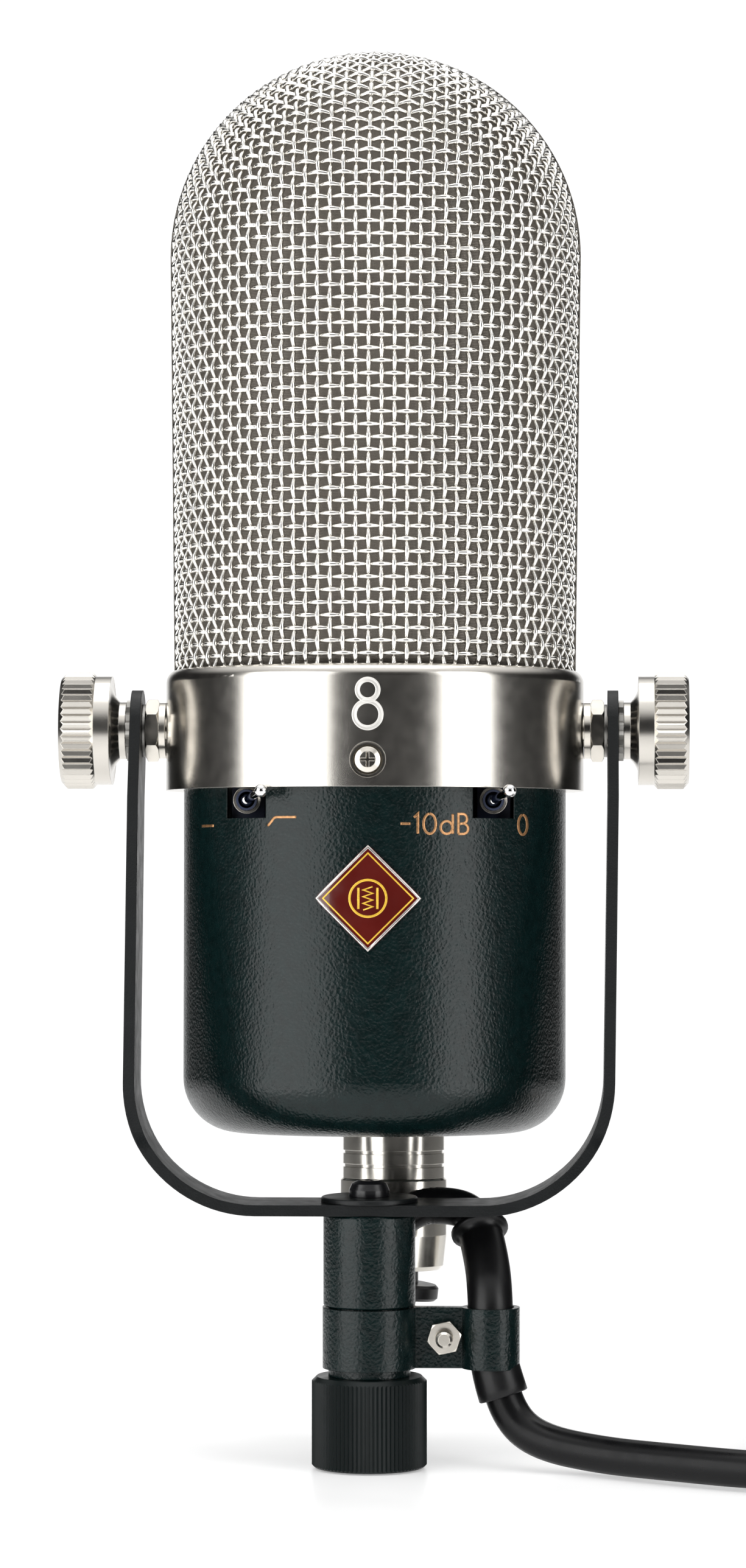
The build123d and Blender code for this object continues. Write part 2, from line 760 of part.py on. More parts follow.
def circuit_board():
    y = (RAIL_W / 2 + GAP, RAIL_W / 2 + GAP + BOARD_T)
    board = block((-RAIL_X - RAIL_T, RAIL_X + RAIL_T), y, (BOARD_LOW, BOARD_TOP))
    for side in (-1, 1):
        for z in BOARD_SCREW_Z:
            hole = Rot(90, 0, 0) * bar(SMALL_SCREW + GAP, -RAIL_W * 2, RAIL_W)
            board -= Pos(side * BOARD_SCREW_X, 0, z) * hole
    return on_body(board)


def capacitors():
    """Film and electrolytic capacitors standing on the rear of the board."""
    face = RAIL_W / 2 + BOARD_T + 2 * GAP
    parts = []
    for x, z, r, length in ((-15, -34, 4.0, 11), (-3, -34, 4.0, 11), (9, -50, 3.2, 7)):
        parts.append(on_body(Pos(x, face, z) * Rot(-90, 0, 0) * bar(r, 0, length)))
    for x, z in ((14, -34), (-12, -50)):
        parts.append(on_body(block((x - 6, x + 6), (face, face + 5), (z - 3.5, z + 3.5))))
    return Compound(children=parts)


def transformer_core():
    """The laminated core: a frame with a middle leg through the coil."""
    core = block((-16, 16), CORE_Y, CORE_Z)
    for x in ((-11, -4), (4, 11)):
        core -= block(x, (-20, 5), (CORE_Z[0] + 5, CORE_Z[1] - 5))
    return on_body(core)


def transformer_coil():
    """The winding on the middle leg, with its bobbin standing on the board."""
    z = (CORE_Z[0] + 5 + FIT, CORE_Z[1] - 5 - FIT)
    coil = block((-11 + FIT, 11 - FIT), (-19, RAIL_W / 2), z)
    return on_body(coil - block((-4 - FIT, 4 + FIT), (CORE_Y[0] - FIT, CORE_Y[1] + FIT), (-90, 0)))


def motor_pillars():
    """Two pillars from the chassis plate to the motor."""
    low = SHELF_HIGH + 2 * GAP + CHASSIS_T
    pillar = bar(2.6, low, MOTOR_LOW - GAP)
    return Compound(children=[on_body(Pos(side * 14, 0, 0) * pillar) for side in (-1, 1)])


def motor_frame():
    """The frame around magnets and ribbon."""
    half = MOTOR_HALF_Y
    outer = block((-MOTOR_X, MOTOR_X), (-half, half), (MOTOR_LOW, MOTOR_HIGH))
    inner_x = MOTOR_X - MOTOR_BAR
    z = (MOTOR_LOW + MOTOR_BAR, MOTOR_HIGH - MOTOR_BAR)
    return on_body(outer - block((-inner_x, inner_x), (-20, 20), z))


def magnets():
    z = (MOTOR_LOW + MOTOR_BAR + GAP, MOTOR_HIGH - MOTOR_BAR - GAP)
    pair = []
    for side in (-1, 1):
        x = sorted((side * (MAGNET_X + GAP), side * (MOTOR_X - MOTOR_BAR - GAP)))
        pair.append(on_body(block(x, (-5, 5), z)))
    return Compound(children=pair)


def pole_pieces():
    """Two tapered poles that face the ribbon's edges."""
    low = MOTOR_LOW + MOTOR_BAR + CLAMP_H + 2 * GAP
    high = MOTOR_HIGH - MOTOR_BAR - CLAMP_H - 2 * GAP
    pair = []
    for side in (-1, 1):
        pts = [(MAGNET_X, -5), (MAGNET_X, 5), (POLE_X, 1.6), (POLE_X, -1.6)]
        face = make_face(Polyline(*[(side * x, y) for x, y in pts], close=True))
        pair.append(on_body(Pos(0, 0, low) * extrude(face, high - low)))
    return Compound(children=pair)


def ribbon():
    """The corrugated foil, thicker than the real one so that it stays a solid."""
    low = MOTOR_LOW + MOTOR_BAR + 1
    high = MOTOR_HIGH - MOTOR_BAR - 1
    count = int((high - low) / (RIBBON_PITCH / 2))
    pitch = (high - low) / count
    heights = [low + pitch * i for i in range(count + 1)]
    wave = [RIBBON_WAVE / 2 * (-1) ** i for i in range(count + 1)]
    half = RIBBON_T / 2
    front = [(0, y - half, z) for y, z in zip(wave, heights)]
    rear = [(0, y + half, z) for y, z in zip(wave, heights)]
    face = make_face(Polyline(*front, *reversed(rear), close=True))
    return on_body(extrude(face, RIBBON_W / 2, both=True, dir=(1, 0, 0)))


def ribbon_clamps():
    """Two bars at each end of the ribbon, one in front and one behind."""
    inner = RIBBON_WAVE / 2 + RIBBON_T / 2 + GAP
    bars = []
    for z in clamp_heights():
        for side in (-1, 1):
            y = sorted((side * inner, side * (inner + CLAMP_T)))
            clamp = block((-CLAMP_W / 2, CLAMP_W / 2), y, (z - CLAMP_H / 2, z + CLAMP_H / 2))
            for x in (-5, 5):
                clamp -= Pos(x, 0, z) * Rot(90, 0, 0) * bar(0.8 + GAP, -10, 10)
            bars.append(on_body(clamp))
    return Compound(children=bars)


def clamp_heights():
    """The middle heights of the lower and the upper clamp."""
    reach = MOTOR_BAR + GAP + CLAMP_H / 2
    return MOTOR_LOW + reach, MOTOR_HIGH - reach


def clamp_screws():
    seat = RIBBON_WAVE / 2 + RIBBON_T / 2 + GAP + CLAMP_T + GAP
    screw = along_y(Pos(0, 0, seat) * pan_screw(0.8, 1.5, 1.0, 2 * seat, 0.2))
    group = []
    for z in clamp_heights():
        for x in (-5, 5):
            group.append(on_body(Pos(x, 0, z) * screw))
    return Compound(children=group)


# ---------------------------------------------------------------- connectors
def on_xlr(shape):
    """Places a shape made on Z at the connector's axis."""
    return on_body(Pos(XLR_X, XLR_Y, 0) * shape)


def xlr_shell():
    """The male socket's shell, with two ring grooves and a flange inside the cup."""
    floor = SHELL_BOTTOM + SHELL_WALL + GAP
    tube = bar(XLR_R, XLR_END, XLR_TOP) + bar(XLR_FLANGE_R, floor, floor + XLR_FLANGE_T)
    tube -= bar(XLR_BORE, XLR_END - PROUD, XLR_TOP + PROUD)
    for z in (XLR_END + 2.4, XLR_END + 4.9):
        tube -= pipe(XLR_R + 1, XLR_R - 0.3, z - 0.3, z + 0.3)
    return on_xlr(tube)


def xlr_insert():
    low = XLR_END + XLR_DEPTH
    insert = bar(XLR_BORE - GAP, low, XLR_TOP)
    for x, y in pin_places():
        insert -= Pos(x, y, 0) * bar(PIN_R + GAP, low - PROUD, XLR_TOP + PROUD)
    return on_xlr(insert)


def pin_places():
    """The three contacts of the connector, around its axis."""
    return [(PIN_PITCH_R * cos(radians(a)), PIN_PITCH_R * sin(radians(a))) for a in (30, 150, 270)]


def xlr_pins():
    low = XLR_END + XLR_DEPTH
    tip = low - PIN_LENGTH + PIN_R
    pin = bar(PIN_R, tip, XLR_TOP + 2) + Pos(0, 0, tip) * Sphere(PIN_R)
    return Compound(children=[on_xlr(Pos(x, y, 0) * pin) for x, y in pin_places()])


def plug_shell():
    """The lead's socket on the microphone: a nose in the male shell and a grip below it."""
    top = XLR_END - GAP
    low = top - PLUG_LENGTH
    grip = turned(
        (0, low),
        (PLUG_R - 1.3, low),
        (PLUG_R - 0.6, low + 0.8),
        (PLUG_R, low + 6.5),
        (PLUG_R, top - 0.3),
        (PLUG_R - 0.3, top),
        (0, top),
    )
    grip += bar(NOSE_R, top - 1, top + NOSE_LENGTH)
    grip -= bar(NOSE_R - PLUG_WALL, low + 3, top + NOSE_LENGTH + PROUD)
    grip -= bar(BOOT_CORE_R + GAP, low - PROUD, low + 5)
    latch_z = top - 6.0
    gap = LATCH_W / 2 + FIT
    z = (latch_z - LATCH_H / 2 - FIT, latch_z + LATCH_H / 2 + FIT)
    grip -= block((-gap, gap), (0, PLUG_R + PROUD), z)
    return on_xlr(grip)


def plug_insert():
    """The insulator with its three contact tubes' holes."""
    top = XLR_END - GAP
    insert = bar(NOSE_R - PLUG_WALL - GAP, top - 9.0, top + NOSE_LENGTH - 0.4)
    for x, y in pin_places():
        insert -= Pos(x, y, 0) * bar(PIN_R + RUN, top - 1.0, top + NOSE_LENGTH + PROUD)
    insert -= block((-LATCH_W, LATCH_W), (2.5, PLUG_R), (top - 12, top - 1.5))
    return on_xlr(insert)


def plug_latch():
    """The push button of the latch, at the back of the plug."""
    top = XLR_END - GAP - 6.0
    z = (top - LATCH_H / 2, top + LATCH_H / 2)
    return on_xlr(block((-LATCH_W / 2, LATCH_W / 2), (4.6, PLUG_R + 0.9), z))


def boot_path():
    """The middle line of the plug's boot: straight in the plug, then leaning back and left."""
    low = XLR_END - GAP - PLUG_LENGTH
    start = on_xlr(Pos(0, 0, low + BOOT_SEAT) * Vertex(0, 0, 0)).center()
    knee = on_xlr(Pos(0, 0, low - BOOT_KNEE) * Vertex(0, 0, 0)).center()
    end = Vector(*LOOP_ROUTE[0])
    last_run = (Vector(*LOOP_ROUTE[0]) - Vector(*LOOP_ROUTE[1])).normalized()
    return FilletPolyline(start, knee, end + last_run * 5.0, end, radius=[12.0, 10.0])


def plug_boot():
    """The ribbed strain relief of the microphone's plug."""
    path = boot_path()
    start = Plane(origin=path @ 0, z_dir=path % 0)
    boot = sweep(start * Circle(BOOT_CORE_R), path=path)
    first = BOOT_SEAT + 3.6
    pitch = (path.length - first - BOOT_RIB_T / 2 - 1.0) / (len(BOOT_RIBS) - 1)
    for i, radius in enumerate(BOOT_RIBS):
        at = (first + pitch * i) / path.length
        place = Plane(origin=path @ at, z_dir=path % at)
        boot += place * chamfered_disc(radius, BOOT_RIB_T)
    return boot


def chamfered_disc(radius, thickness):
    """A disc with both edges broken, centred on its middle plane."""
    half = thickness / 2
    c = 0.5
    return turned(
        (0, -half),
        (radius - c, -half),
        (radius, c - half),
        (radius, half - c),
        (radius - c, half),
        (0, half),
    )


def on_line_plug(shape):
    """Places a shape made on +Z at the far plug, which lies on the floor and points to +Y."""
    x, y, z = TAIL_ROUTE[-1]
    return Pos(x, y, z) * Rot(-90, 0, 0) * shape


def line_plug_boot():
    """The ribbed boot of the far plug."""
    boot = bar(BOOT_CORE_R, GAP, LINE_BOOT_LENGTH + BOOT_SEAT)
    for i, radius in enumerate((6.2, 6.9, 7.6, 8.3)):
        boot += Pos(0, 0, 3.0 + i * 5.2) * chamfered_disc(radius, BOOT_RIB_T)
    return on_line_plug(boot)


def line_plug_shell():
    """The shell of the far plug, open at its mouth."""
    low = LINE_BOOT_LENGTH
    high = low + LINE_PLUG_LENGTH
    body = turned(
        (0, low),
        (LINE_PLUG_R - 1.6, low),
        (LINE_PLUG_R - 0.4, low + 2.0),
        (LINE_PLUG_R, low + 8.0),
        (LINE_PLUG_R, high - 0.4),
        (LINE_PLUG_R - 0.4, high),
        (0, high),
    )
    body -= bar(BOOT_CORE_R + GAP, low - PROUD, low + 5)
    body -= bar(XLR_BORE, low + 4, high + PROUD)
    return on_line_plug(body)


def line_plug_insert():
    high = LINE_BOOT_LENGTH + LINE_PLUG_LENGTH - XLR_DEPTH
    insert = bar(XLR_BORE - GAP, high - 8, high)
    for x, y in pin_places():
        insert -= Pos(x, y, 0) * bar(PIN_R + GAP, high - 20, high + PROUD)
    return on_line_plug(insert)


def line_plug_pins():
    high = LINE_BOOT_LENGTH + LINE_PLUG_LENGTH - XLR_DEPTH
    top = high + PIN_LENGTH - PIN_R
    pin = bar(PIN_R, high - 11, top) + Pos(0, 0, top) * Sphere(PIN_R)
    return Compound(children=[on_line_plug(Pos(x, y, 0) * pin) for x, y in pin_places()])


# ---------------------------------------------------------------- clip and lead
def cable_clip():
    """A strap around the neck and the sleeve, pinched by one screw."""
    neck = Circle(NECK_R + GAP + CLIP_T)
    loop = Pos(CLIP_LOOP_X, 0) * Circle(SLEEVE_R + FIT + CLIP_T)
    flat = Pos(CLIP_LOOP_X / 2, 0) * Rectangle(CLIP_LOOP_X, 2 * CLIP_T + 0.3)
    bores = Circle(NECK_R + GAP) + Pos(CLIP_LOOP_X, 0) * Circle(SLEEVE_R + FIT)
    slit = Pos(CLIP_LOOP_X / 2, 0) * Rectangle(CLIP_LOOP_X, 0.3)
    strap = Pos(0, 0, CLIP_LOW) * extrude(neck + loop + flat - bores - slit, CLIP_HIGH - CLIP_LOW)
    hole = Pos(CLIP_SCREW_X, 0, CLIP_SCREW_Z) * Rot(90, 0, 0) * Cylinder(CLIP_SCREW_R + FIT, 10)
    return strap - hole


def clip_screw():
    seat = CLIP_T + 0.15 + GAP
    screw = Rot(-90, 0, 0) * Pos(0, 0, seat) * pan_screw(CLIP_SCREW_R, 2.8, 2.0, 8.0)
    return Pos(CLIP_SCREW_X, 0, CLIP_SCREW_Z) * screw


def clip_nut():
    face = CLIP_T + 0.15 + GAP
    nut = hexagon(CLIP_NUT_AF, CLIP_SCREW_R + GAP, face, face + CLIP_NUT_T)
    return Pos(CLIP_SCREW_X, 0, CLIP_SCREW_Z) * along_y(Rot(0, 0, 12) * nut)


def cable_sleeve():
    """The rubber sleeve around the lead, with a flange at its upper end."""
    path = FilletPolyline(*SLEEVE_ROUTE, radius=route_radii(SLEEVE_ROUTE))
    start = Plane(origin=path @ 0, z_dir=path % 0)
    flange = start * bar(SLEEVE_FLANGE_R, 0, SLEEVE_FLANGE_T)
    return sweep(start * Circle(SLEEVE_R), path=path) + flange


def cable_loop():
    return routed("cable_loop", LOOP_ROUTE, CORD_R)


def cable():
    return routed("cable", CABLE_ROUTE, CORD_R)


def cable_tail():
    return routed("cable_tail", TAIL_ROUTE, CORD_R)


def cable_coil():
    """The outer form of the wound lead."""
    reach = COIL_COLUMNS * CORD_R
    ring = pipe(COIL_MEAN_R + reach, COIL_MEAN_R - reach, 0, COIL_LAYERS * 2 * CORD_R)
    ring = fillet(ring.edges().filter_by(GeomType.CIRCLE), CORD_R * 0.8)
    return Pos(COIL_X, COIL_Y, 0) * ring


NODES = {
    "post": post,
    "stand_ring": stand_ring,
    "retaining_ring": retaining_ring,
    "yoke": yoke,
    "yoke_washer": yoke_washer,
    "yoke_screw": yoke_screw,
    "pivot_studs": pivot_studs,
    "pivot_washers": pivot_washers,
    "pivot_nuts": pivot_nuts,
    "lock_washers": lock_washers,
    "star_washers": star_washers,
    "knob_left": lambda: knob(-1),
    "knob_right": lambda: knob(1),
    "grille_frame": grille_frame,
    "grille_front": grille_front,
    "grille_rear": grille_rear,
    "inner_mesh_front": inner_mesh_front,
    "inner_mesh_rear": inner_mesh_rear,
    "collar": collar,
    "collar_screws": collar_screws,
    "shell": shell,
    "badge": badge,
    "switch_bodies": switch_bodies,
    "switch_nuts": switch_nuts,
    "toggle_left": lambda: toggle(-1),
    "toggle_right": lambda: toggle(1),
    "switch_board": switch_board,
    "chassis_plate": chassis_plate,
    "frame_screws": frame_screws,
    "side_rails": side_rails,
    "circuit_board": circuit_board,
    "capacitors": capacitors,
    "transformer_core": transformer_core,
    "transformer_coil": transformer_coil,
    "motor_pillars": motor_pillars,
    "motor_frame": motor_frame,
    "magnets": magnets,
    "pole_pieces": pole_pieces,
    "ribbon": ribbon,
    "ribbon_clamps": ribbon_clamps,
    "clamp_screws": clamp_screws,
    "xlr_shell": xlr_shell,
    "xlr_insert": xlr_insert,
    "xlr_pins": xlr_pins,
    "plug_shell": plug_shell,
    "plug_insert": plug_insert,
    "plug_latch": plug_latch,
    "plug_boot": plug_boot,
    "cable_clip": cable_clip,
    "clip_screw": clip_screw,
    "clip_nut": clip_nut,
    "cable_sleeve": cable_sleeve,
    "cable_loop": cable_loop,
    "cable": cable,
    "cable_coil": cable_coil,
    "cable_tail": cable_tail,
    "line_plug_shell": line_plug_shell,
    "line_plug_insert": line_plug_insert,
    "line_plug_pins": line_plug_pins,
    "line_plug_boot": line_plug_boot,
}

if __name__ == "__main__":
    for name, make in NODES.items():
        export_step(make(), f"parts/{name}.step")
    print(len(NODES), "nodes")
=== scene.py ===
"""Looks of the ribbon microphone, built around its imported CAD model.

Everything is in metres in the part's own frame: the post stands on the origin, +Z is up and -Y
is the front. Shapes on the microphone's head are drawn in the head's own frame, in millimetres,
with the pivot at the origin and the head upright; HEAD places them.
"""

import json
from math import cos, pi, radians, sin, sqrt

import bmesh
import bpy
from mathutils import Matrix, Vector


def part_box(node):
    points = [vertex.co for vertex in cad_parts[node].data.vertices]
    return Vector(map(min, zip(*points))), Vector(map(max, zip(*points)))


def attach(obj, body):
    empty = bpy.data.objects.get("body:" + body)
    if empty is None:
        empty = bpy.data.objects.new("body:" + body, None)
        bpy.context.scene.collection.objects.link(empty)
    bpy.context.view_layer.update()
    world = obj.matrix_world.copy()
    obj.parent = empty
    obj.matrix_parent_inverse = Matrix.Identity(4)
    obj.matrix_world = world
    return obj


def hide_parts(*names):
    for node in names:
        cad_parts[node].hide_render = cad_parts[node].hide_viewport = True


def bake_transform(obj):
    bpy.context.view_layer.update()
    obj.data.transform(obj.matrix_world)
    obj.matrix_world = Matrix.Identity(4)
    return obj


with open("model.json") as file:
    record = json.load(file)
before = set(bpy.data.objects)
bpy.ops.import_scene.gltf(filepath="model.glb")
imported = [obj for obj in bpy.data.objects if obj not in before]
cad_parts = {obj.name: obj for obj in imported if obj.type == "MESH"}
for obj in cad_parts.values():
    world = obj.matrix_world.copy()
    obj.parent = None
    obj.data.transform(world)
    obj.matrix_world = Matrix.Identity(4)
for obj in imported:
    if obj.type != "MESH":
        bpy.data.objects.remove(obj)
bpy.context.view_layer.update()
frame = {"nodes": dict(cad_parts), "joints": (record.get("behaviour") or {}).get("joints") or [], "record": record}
NODES = frame["nodes"]
MM = 0.001

# ---- the camera and the studio, in metres and degrees
CAMERA_PLACE = (0.0342, -0.970, 0.1427)
CAMERA_DOWN = 1.15  # how far it looks below level
CAMERA_LEFT = 1.98  # how far it is turned to the left
LENS = 123.7  # focal length in millimetres, for a picture 36 mm high
FLOOR_R = 1.6
FLOOR_DROP = 0.0003  # keeps the floor clear of the undersides that stand on it
FLOOR_FADE = (0.06, 0.42)  # the radii where the floor begins and ends to fade out
STUDIO_WHITE = 1.12
STUDIO_DIM = 0.013
BODY_MIDDLE = (0, 0, 0.14)  # what the light boxes at the sides face

# ---- the head, with its lengths in millimetres and its pivot in metres
TILT = radians(2.5)
PIVOT = Vector(next(joint for joint in frame["joints"] if joint["name"] == "tilt")["pos_m"])
HEAD = Matrix.Translation(PIVOT) @ Matrix.Rotation(-TILT, 4, "X") @ Matrix.Scale(MM, 4)
GRILLE_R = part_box("grille_front")[1].x / MM
GRILLE_FOOT_R = 37.25  # where the wires meet the collar
COLLAR_R = 38.7
COLLAR_HALF = 11.2
ARCH_Z = 88.0
SHELL_R = 35.4
BADGE_R = SHELL_R + 0.65
BADGE_Z = -31.2
BADGE_HALF = 9.7

# ---- the woven grille, in millimetres
WIRE_R = 0.43
WIRE_SIDES = 6
WIRE_STEPS = 4  # straight pieces from one crossing to the next
COLUMNS = 24  # upright wires each side of the middle one
LAST_COLUMN = radians(86.6)  # how far round the outermost upright wires stand
ROWS_BELOW = 34  # level wires under the dome
ROWS_ABOVE = 26
PITCH_Z = 2.28
FRAME_EDGE = 1.65  # half the arch frame's width, with its gap
END_GAP = 0.5  # how far a wire's line ends before the frame, in wire radii
LINER_INSET = 2.75
LINER_THICK = 0.3
FINE_ACROSS = 9  # fine wires in one cell of the coarse weave
FINE_UP = 8

# ---- signs and badge, in millimetres
MARK_REACH = 0.3  # longest straight piece of a mark, so that it follows the shell
BADGE_RIM = 0.45  # how far its rim and its gold line lie inside its corners
BADGE_GOLD = 1.6
EMBLEM_R = 3.3

# ---- the lead, in metres
CORD_R = 0.0034
LOOP_ROUTE = [
    (-0.0002, 0.0314, 0.0150),
    (-0.0005, 0.0313, 0.0086),
    (-0.0005, 0.0263, 0.0034),
    (0.0000, 0.0193, 0.0034),
    (0.0003, 0.0143, 0.0086),
    (-0.0001, 0.0140, 0.0174),
    (-0.0005, 0.0125, 0.0268),
    (-0.0004, 0.0127, 0.0380),
    (0.0074, 0.0131, 0.0458),
    (0.0157, 0.0133, 0.0459),
    (0.01915, 0.01155, 0.0438),
    (0.01965, 0.01015, 0.0421),
]
SLEEVE_ROUTE = [
    (0.01965, 0.01015, 0.0421),
    (0.0212, 0.00575, 0.0368),
    (0.0219, 0.0003, 0.0296),
    (0.0219, 0.0000, 0.0200),
    (0.0242, -0.0006, 0.0130),
]
CABLE_ROUTE = [
    (0.0242, -0.0006, 0.0130),
    (0.0256, -0.0010, 0.0088),
    (0.0310, -0.0034, 0.0049),
    (0.0420, -0.0088, 0.0034),
    (0.0540, -0.0168, 0.0034),
    (0.0680, -0.0256, 0.0034),
    (0.0840, -0.0304, 0.0034),
    (0.1020, -0.0318, 0.0034),
]
COIL_MIDDLE = (0.1210, 0.0160)
COIL_OUTER_R = 0.0473
COIL_POINTS = 20  # for each turn
COIL_TURNS = 7.25
TAIL_ROUTE = [
    (0.1683, 0.0160, 0.0102),
    (0.1686, 0.0265, 0.0099),
    (0.1683, 0.0370, 0.0095),
    (0.1683, 0.0480, 0.0095),
]

# ---- the sleeve and the strap round the coil, in metres
SLEEVE_R = 0.00408
SLEEVE_FLARE = 0.00046  # how much wider its lower end is
SLEEVE_BORE_R = 0.0036
TIE_OPENING = (0.0282, 0.0140)  # its width and height inside
TIE_THICK = 0.0008
TIE_TURN = radians(118)  # where it sits on the coil


# ---------------------------------------------------------------- camera, stage and light
def make_camera():
    """The camera that sees the object as the photograph shows it."""
    data = bpy.data.cameras.new("camera")
    data.sensor_fit = "VERTICAL"
    data.sensor_height = 36.0
    data.lens = LENS
    camera = bpy.data.objects.new("camera", data)
    camera.location = CAMERA_PLACE
    camera.rotation_euler = (radians(90 - CAMERA_DOWN), 0, radians(CAMERA_LEFT))
    bpy.context.scene.collection.objects.link(camera)
    bpy.context.scene.camera = camera


def make_floor():
    """A pale disc that fades out into the pale surroundings."""
    mesh = bpy.data.meshes.new("floor")
    form = bmesh.new()
    bmesh.ops.create_circle(form, cap_ends=True, segments=96, radius=FLOOR_R)
    form.to_mesh(mesh)
    form.free()
    floor = bpy.data.objects.new("floor", mesh)
    floor.location.z = -FLOOR_DROP
    bpy.context.scene.collection.objects.link(floor)
    material = bpy.data.materials.new("floor")
    material.use_nodes = True
    tree = material.node_tree
    shader = tree.nodes["Principled BSDF"]
    shader.inputs["Base Color"].default_value = (0.93, 0.93, 0.93, 1)
    shader.inputs["Emission Color"].default_value = (1, 1, 1, 1)
    shader.inputs["Emission Strength"].default_value = 0.22
    where = add(tree, "ShaderNodeTexCoord").outputs["Object"]
    soft = grain(tree, where, 30.0, 2.0)
    tree.links.new(between(tree, soft, 0.28, 0.36), shader.inputs["Roughness"])
    radius = add(tree, "ShaderNodeVectorMath", {0: where}, operation="LENGTH").outputs["Value"]
    near, far = FLOOR_FADE
    reach = {"Value": radius, "From Min": near, "From Max": far, "To Min": 0.9, "To Max": 0.0}
    fade = add(tree, "ShaderNodeMapRange", reach, interpolation_type="SMOOTHSTEP")
    tree.links.new(fade.outputs[0], shader.inputs["Alpha"])
    mesh.materials.append(material)


def make_world():
    """A studio round the object: white behind, above and below, dim towards the camera's side."""
    world = bpy.data.worlds.new("studio")
    bpy.context.scene.world = world
    world.use_nodes = True
    tree = world.node_tree
    way = add(tree, "ShaderNodeTexCoord").outputs["Generated"]
    axes = add(tree, "ShaderNodeSeparateXYZ", {0: way}).outputs
    behind = (axes["Y"], 0.90, 0.97)
    above = (axes["Z"], 0.35, 0.85)
    below = (axes["Z"], -0.02, -0.25)
    white = 0.0
    for axis, dark_at, white_at in (behind, above, below):
        ramp = {"Value": axis, "From Min": dark_at, "From Max": white_at}
        glow = add(tree, "ShaderNodeMapRange", ramp, interpolation_type="SMOOTHSTEP").outputs[0]
        white = add(tree, "ShaderNodeMath", {0: white, 1: glow}, operation="MAXIMUM").outputs[0]
    tones = {0: white, 6: (*[STUDIO_DIM] * 3, 1), 7: (*[STUDIO_WHITE] * 3, 1)}
    tone = add(tree, "ShaderNodeMix", tones, data_type="RGBA").outputs[2]
    tree.links.new(tone, tree.nodes["Background"].inputs["Color"])


def make_light(name, place, aim, width, height, power):
    """A rectangular light box that faces aim, with its power in watts."""
    data = bpy.data.lights.new(name, "AREA")
    data.shape = "RECTANGLE"
    data.size = width
    data.size_y = height
    data.energy = power
    light = bpy.data.objects.new(name, data)
    light.location = place
    light.rotation_euler = (Vector(aim) - Vector(place)).to_track_quat("-Z", "Y").to_euler()
    bpy.context.scene.collection.objects.link(light)


# ---------------------------------------------------------------- shader helpers
def add(tree, kind, inputs=(), **settings):
    """Adds a shader node, sets its options, and sets or links its inputs."""
    node = tree.nodes.new(kind)
    for name, value in settings.items():
        setattr(node, name, value)
    for key, value in dict(inputs).items():
        if isinstance(value, bpy.types.NodeSocket):
            tree.links.new(value, node.inputs[key])
        else:
            node.inputs[key].default_value = value
    return node


def grain(tree, where, size, detail, stretch=(1, 1, 1)):
    """A noise with features of about size millimetres, drawn out along each axis by stretch."""
    scale = [1 / (MM * size * s) for s in stretch]
    place = add(tree, "ShaderNodeMapping", {"Vector": where, "Scale": scale}).outputs[0]
    return add(tree, "ShaderNodeTexNoise", {"Vector": place, "Scale": 1.0, "Detail": detail}).outputs[0]


def between(tree, factor, low, high):
    """Spreads a noise, most of which lies from 0.3 to 0.7, over a range of numbers."""
    span = {"Value": factor, "From Min": 0.3, "From Max": 0.7, "To Min": low, "To Max": high}
    return add(tree, "ShaderNodeMapRange", span).outputs[0]


def mixed(tree, factor, first, second):
    """A colour between two others."""
    colours = {0: factor, 6: first, 7: second}
    return add(tree, "ShaderNodeMix", colours, data_type="RGBA").outputs[2]


def hide(tree, where):
    """The height of a wrinkled, leathery paint, with pebbles of about 0.6 mm."""
    bent = grain(tree, where, 1.4, 2.0)
    shifted = add(tree, "ShaderNodeVectorMath", {0: where, 1: (1 / MM,) * 3}, operation="MULTIPLY")
    offset = add(tree, "ShaderNodeVectorMath", {0: bent, 3: 0.9}, operation="SCALE").outputs[0]
    warped = add(tree, "ShaderNodeVectorMath", {0: shifted.outputs[0], 1: offset}).outputs[0]
    pebbles_per_mm = 1.7
    cells = {"Vector": warped, "Scale": pebbles_per_mm, "Smoothness": 0.6}
    pebbles = add(tree, "ShaderNodeTexVoronoi", cells, feature="SMOOTH_F1").outputs["Distance"]
    fine = grain(tree, where, 0.25, 2.0)
    return add(tree, "ShaderNodeMath", {0: fine, 1: 0.35, 2: pebbles}, operation="MULTIPLY_ADD").outputs[0]


def surface(
    name,
    color,
    roughness,
    metallic=0.0,
    spread=0.12,
    blotch=9.0,
    wander=0.05,
    grit=0.4,
    bump=4.0,
    stretch=(1, 1, 1),
    edge=0.12,
    height=None,
    **shader,
):
    """A material with blotches of colour, a roughness that wanders and a fine bumpy grit.

    spread is the share by which the colour varies, and wander is how far the roughness does.
    blotch, grit and edge are sizes in millimetres, and edge is how far sharp edges look rounded.
    bump is the grit's height in micrometres, and height a function that replaces the grit.
    """
    material = bpy.data.materials.new(name)
    material.use_nodes = True
    tree = material.node_tree
    principled = tree.nodes["Principled BSDF"]
    where = add(tree, "ShaderNodeTexCoord").outputs["Object"]
    slow = grain(tree, where, blotch, 3.0)
    fine = height(tree, where) if height else grain(tree, where, grit, 2.0, stretch)
    dark = [c * (1 - spread) for c in color] + [1]
    light = [min(1, c * (1 + spread)) for c in color] + [1]
    tone = mixed(tree, between(tree, slow, 0, 1), dark, light)
    tree.links.new(tone, principled.inputs["Base Color"])
    rough = between(tree, grain(tree, where, blotch / 3, 3.0), roughness - wander, roughness + wander)
    tree.links.new(rough, principled.inputs["Roughness"])
    principled.inputs["Metallic"].default_value = metallic
    for key, value in shader.items():
        principled.inputs[key.replace("_", " ")].default_value = value
    relief = {"Height": fine, "Distance": bump * 1e-6, "Strength": 1.0}
    if edge:
        relief["Normal"] = add(tree, "ShaderNodeBevel", {"Radius": edge * MM}, samples=4).outputs[0]
    tree.links.new(add(tree, "ShaderNodeBump", relief).outputs[0], principled.inputs["Normal"])
    return material


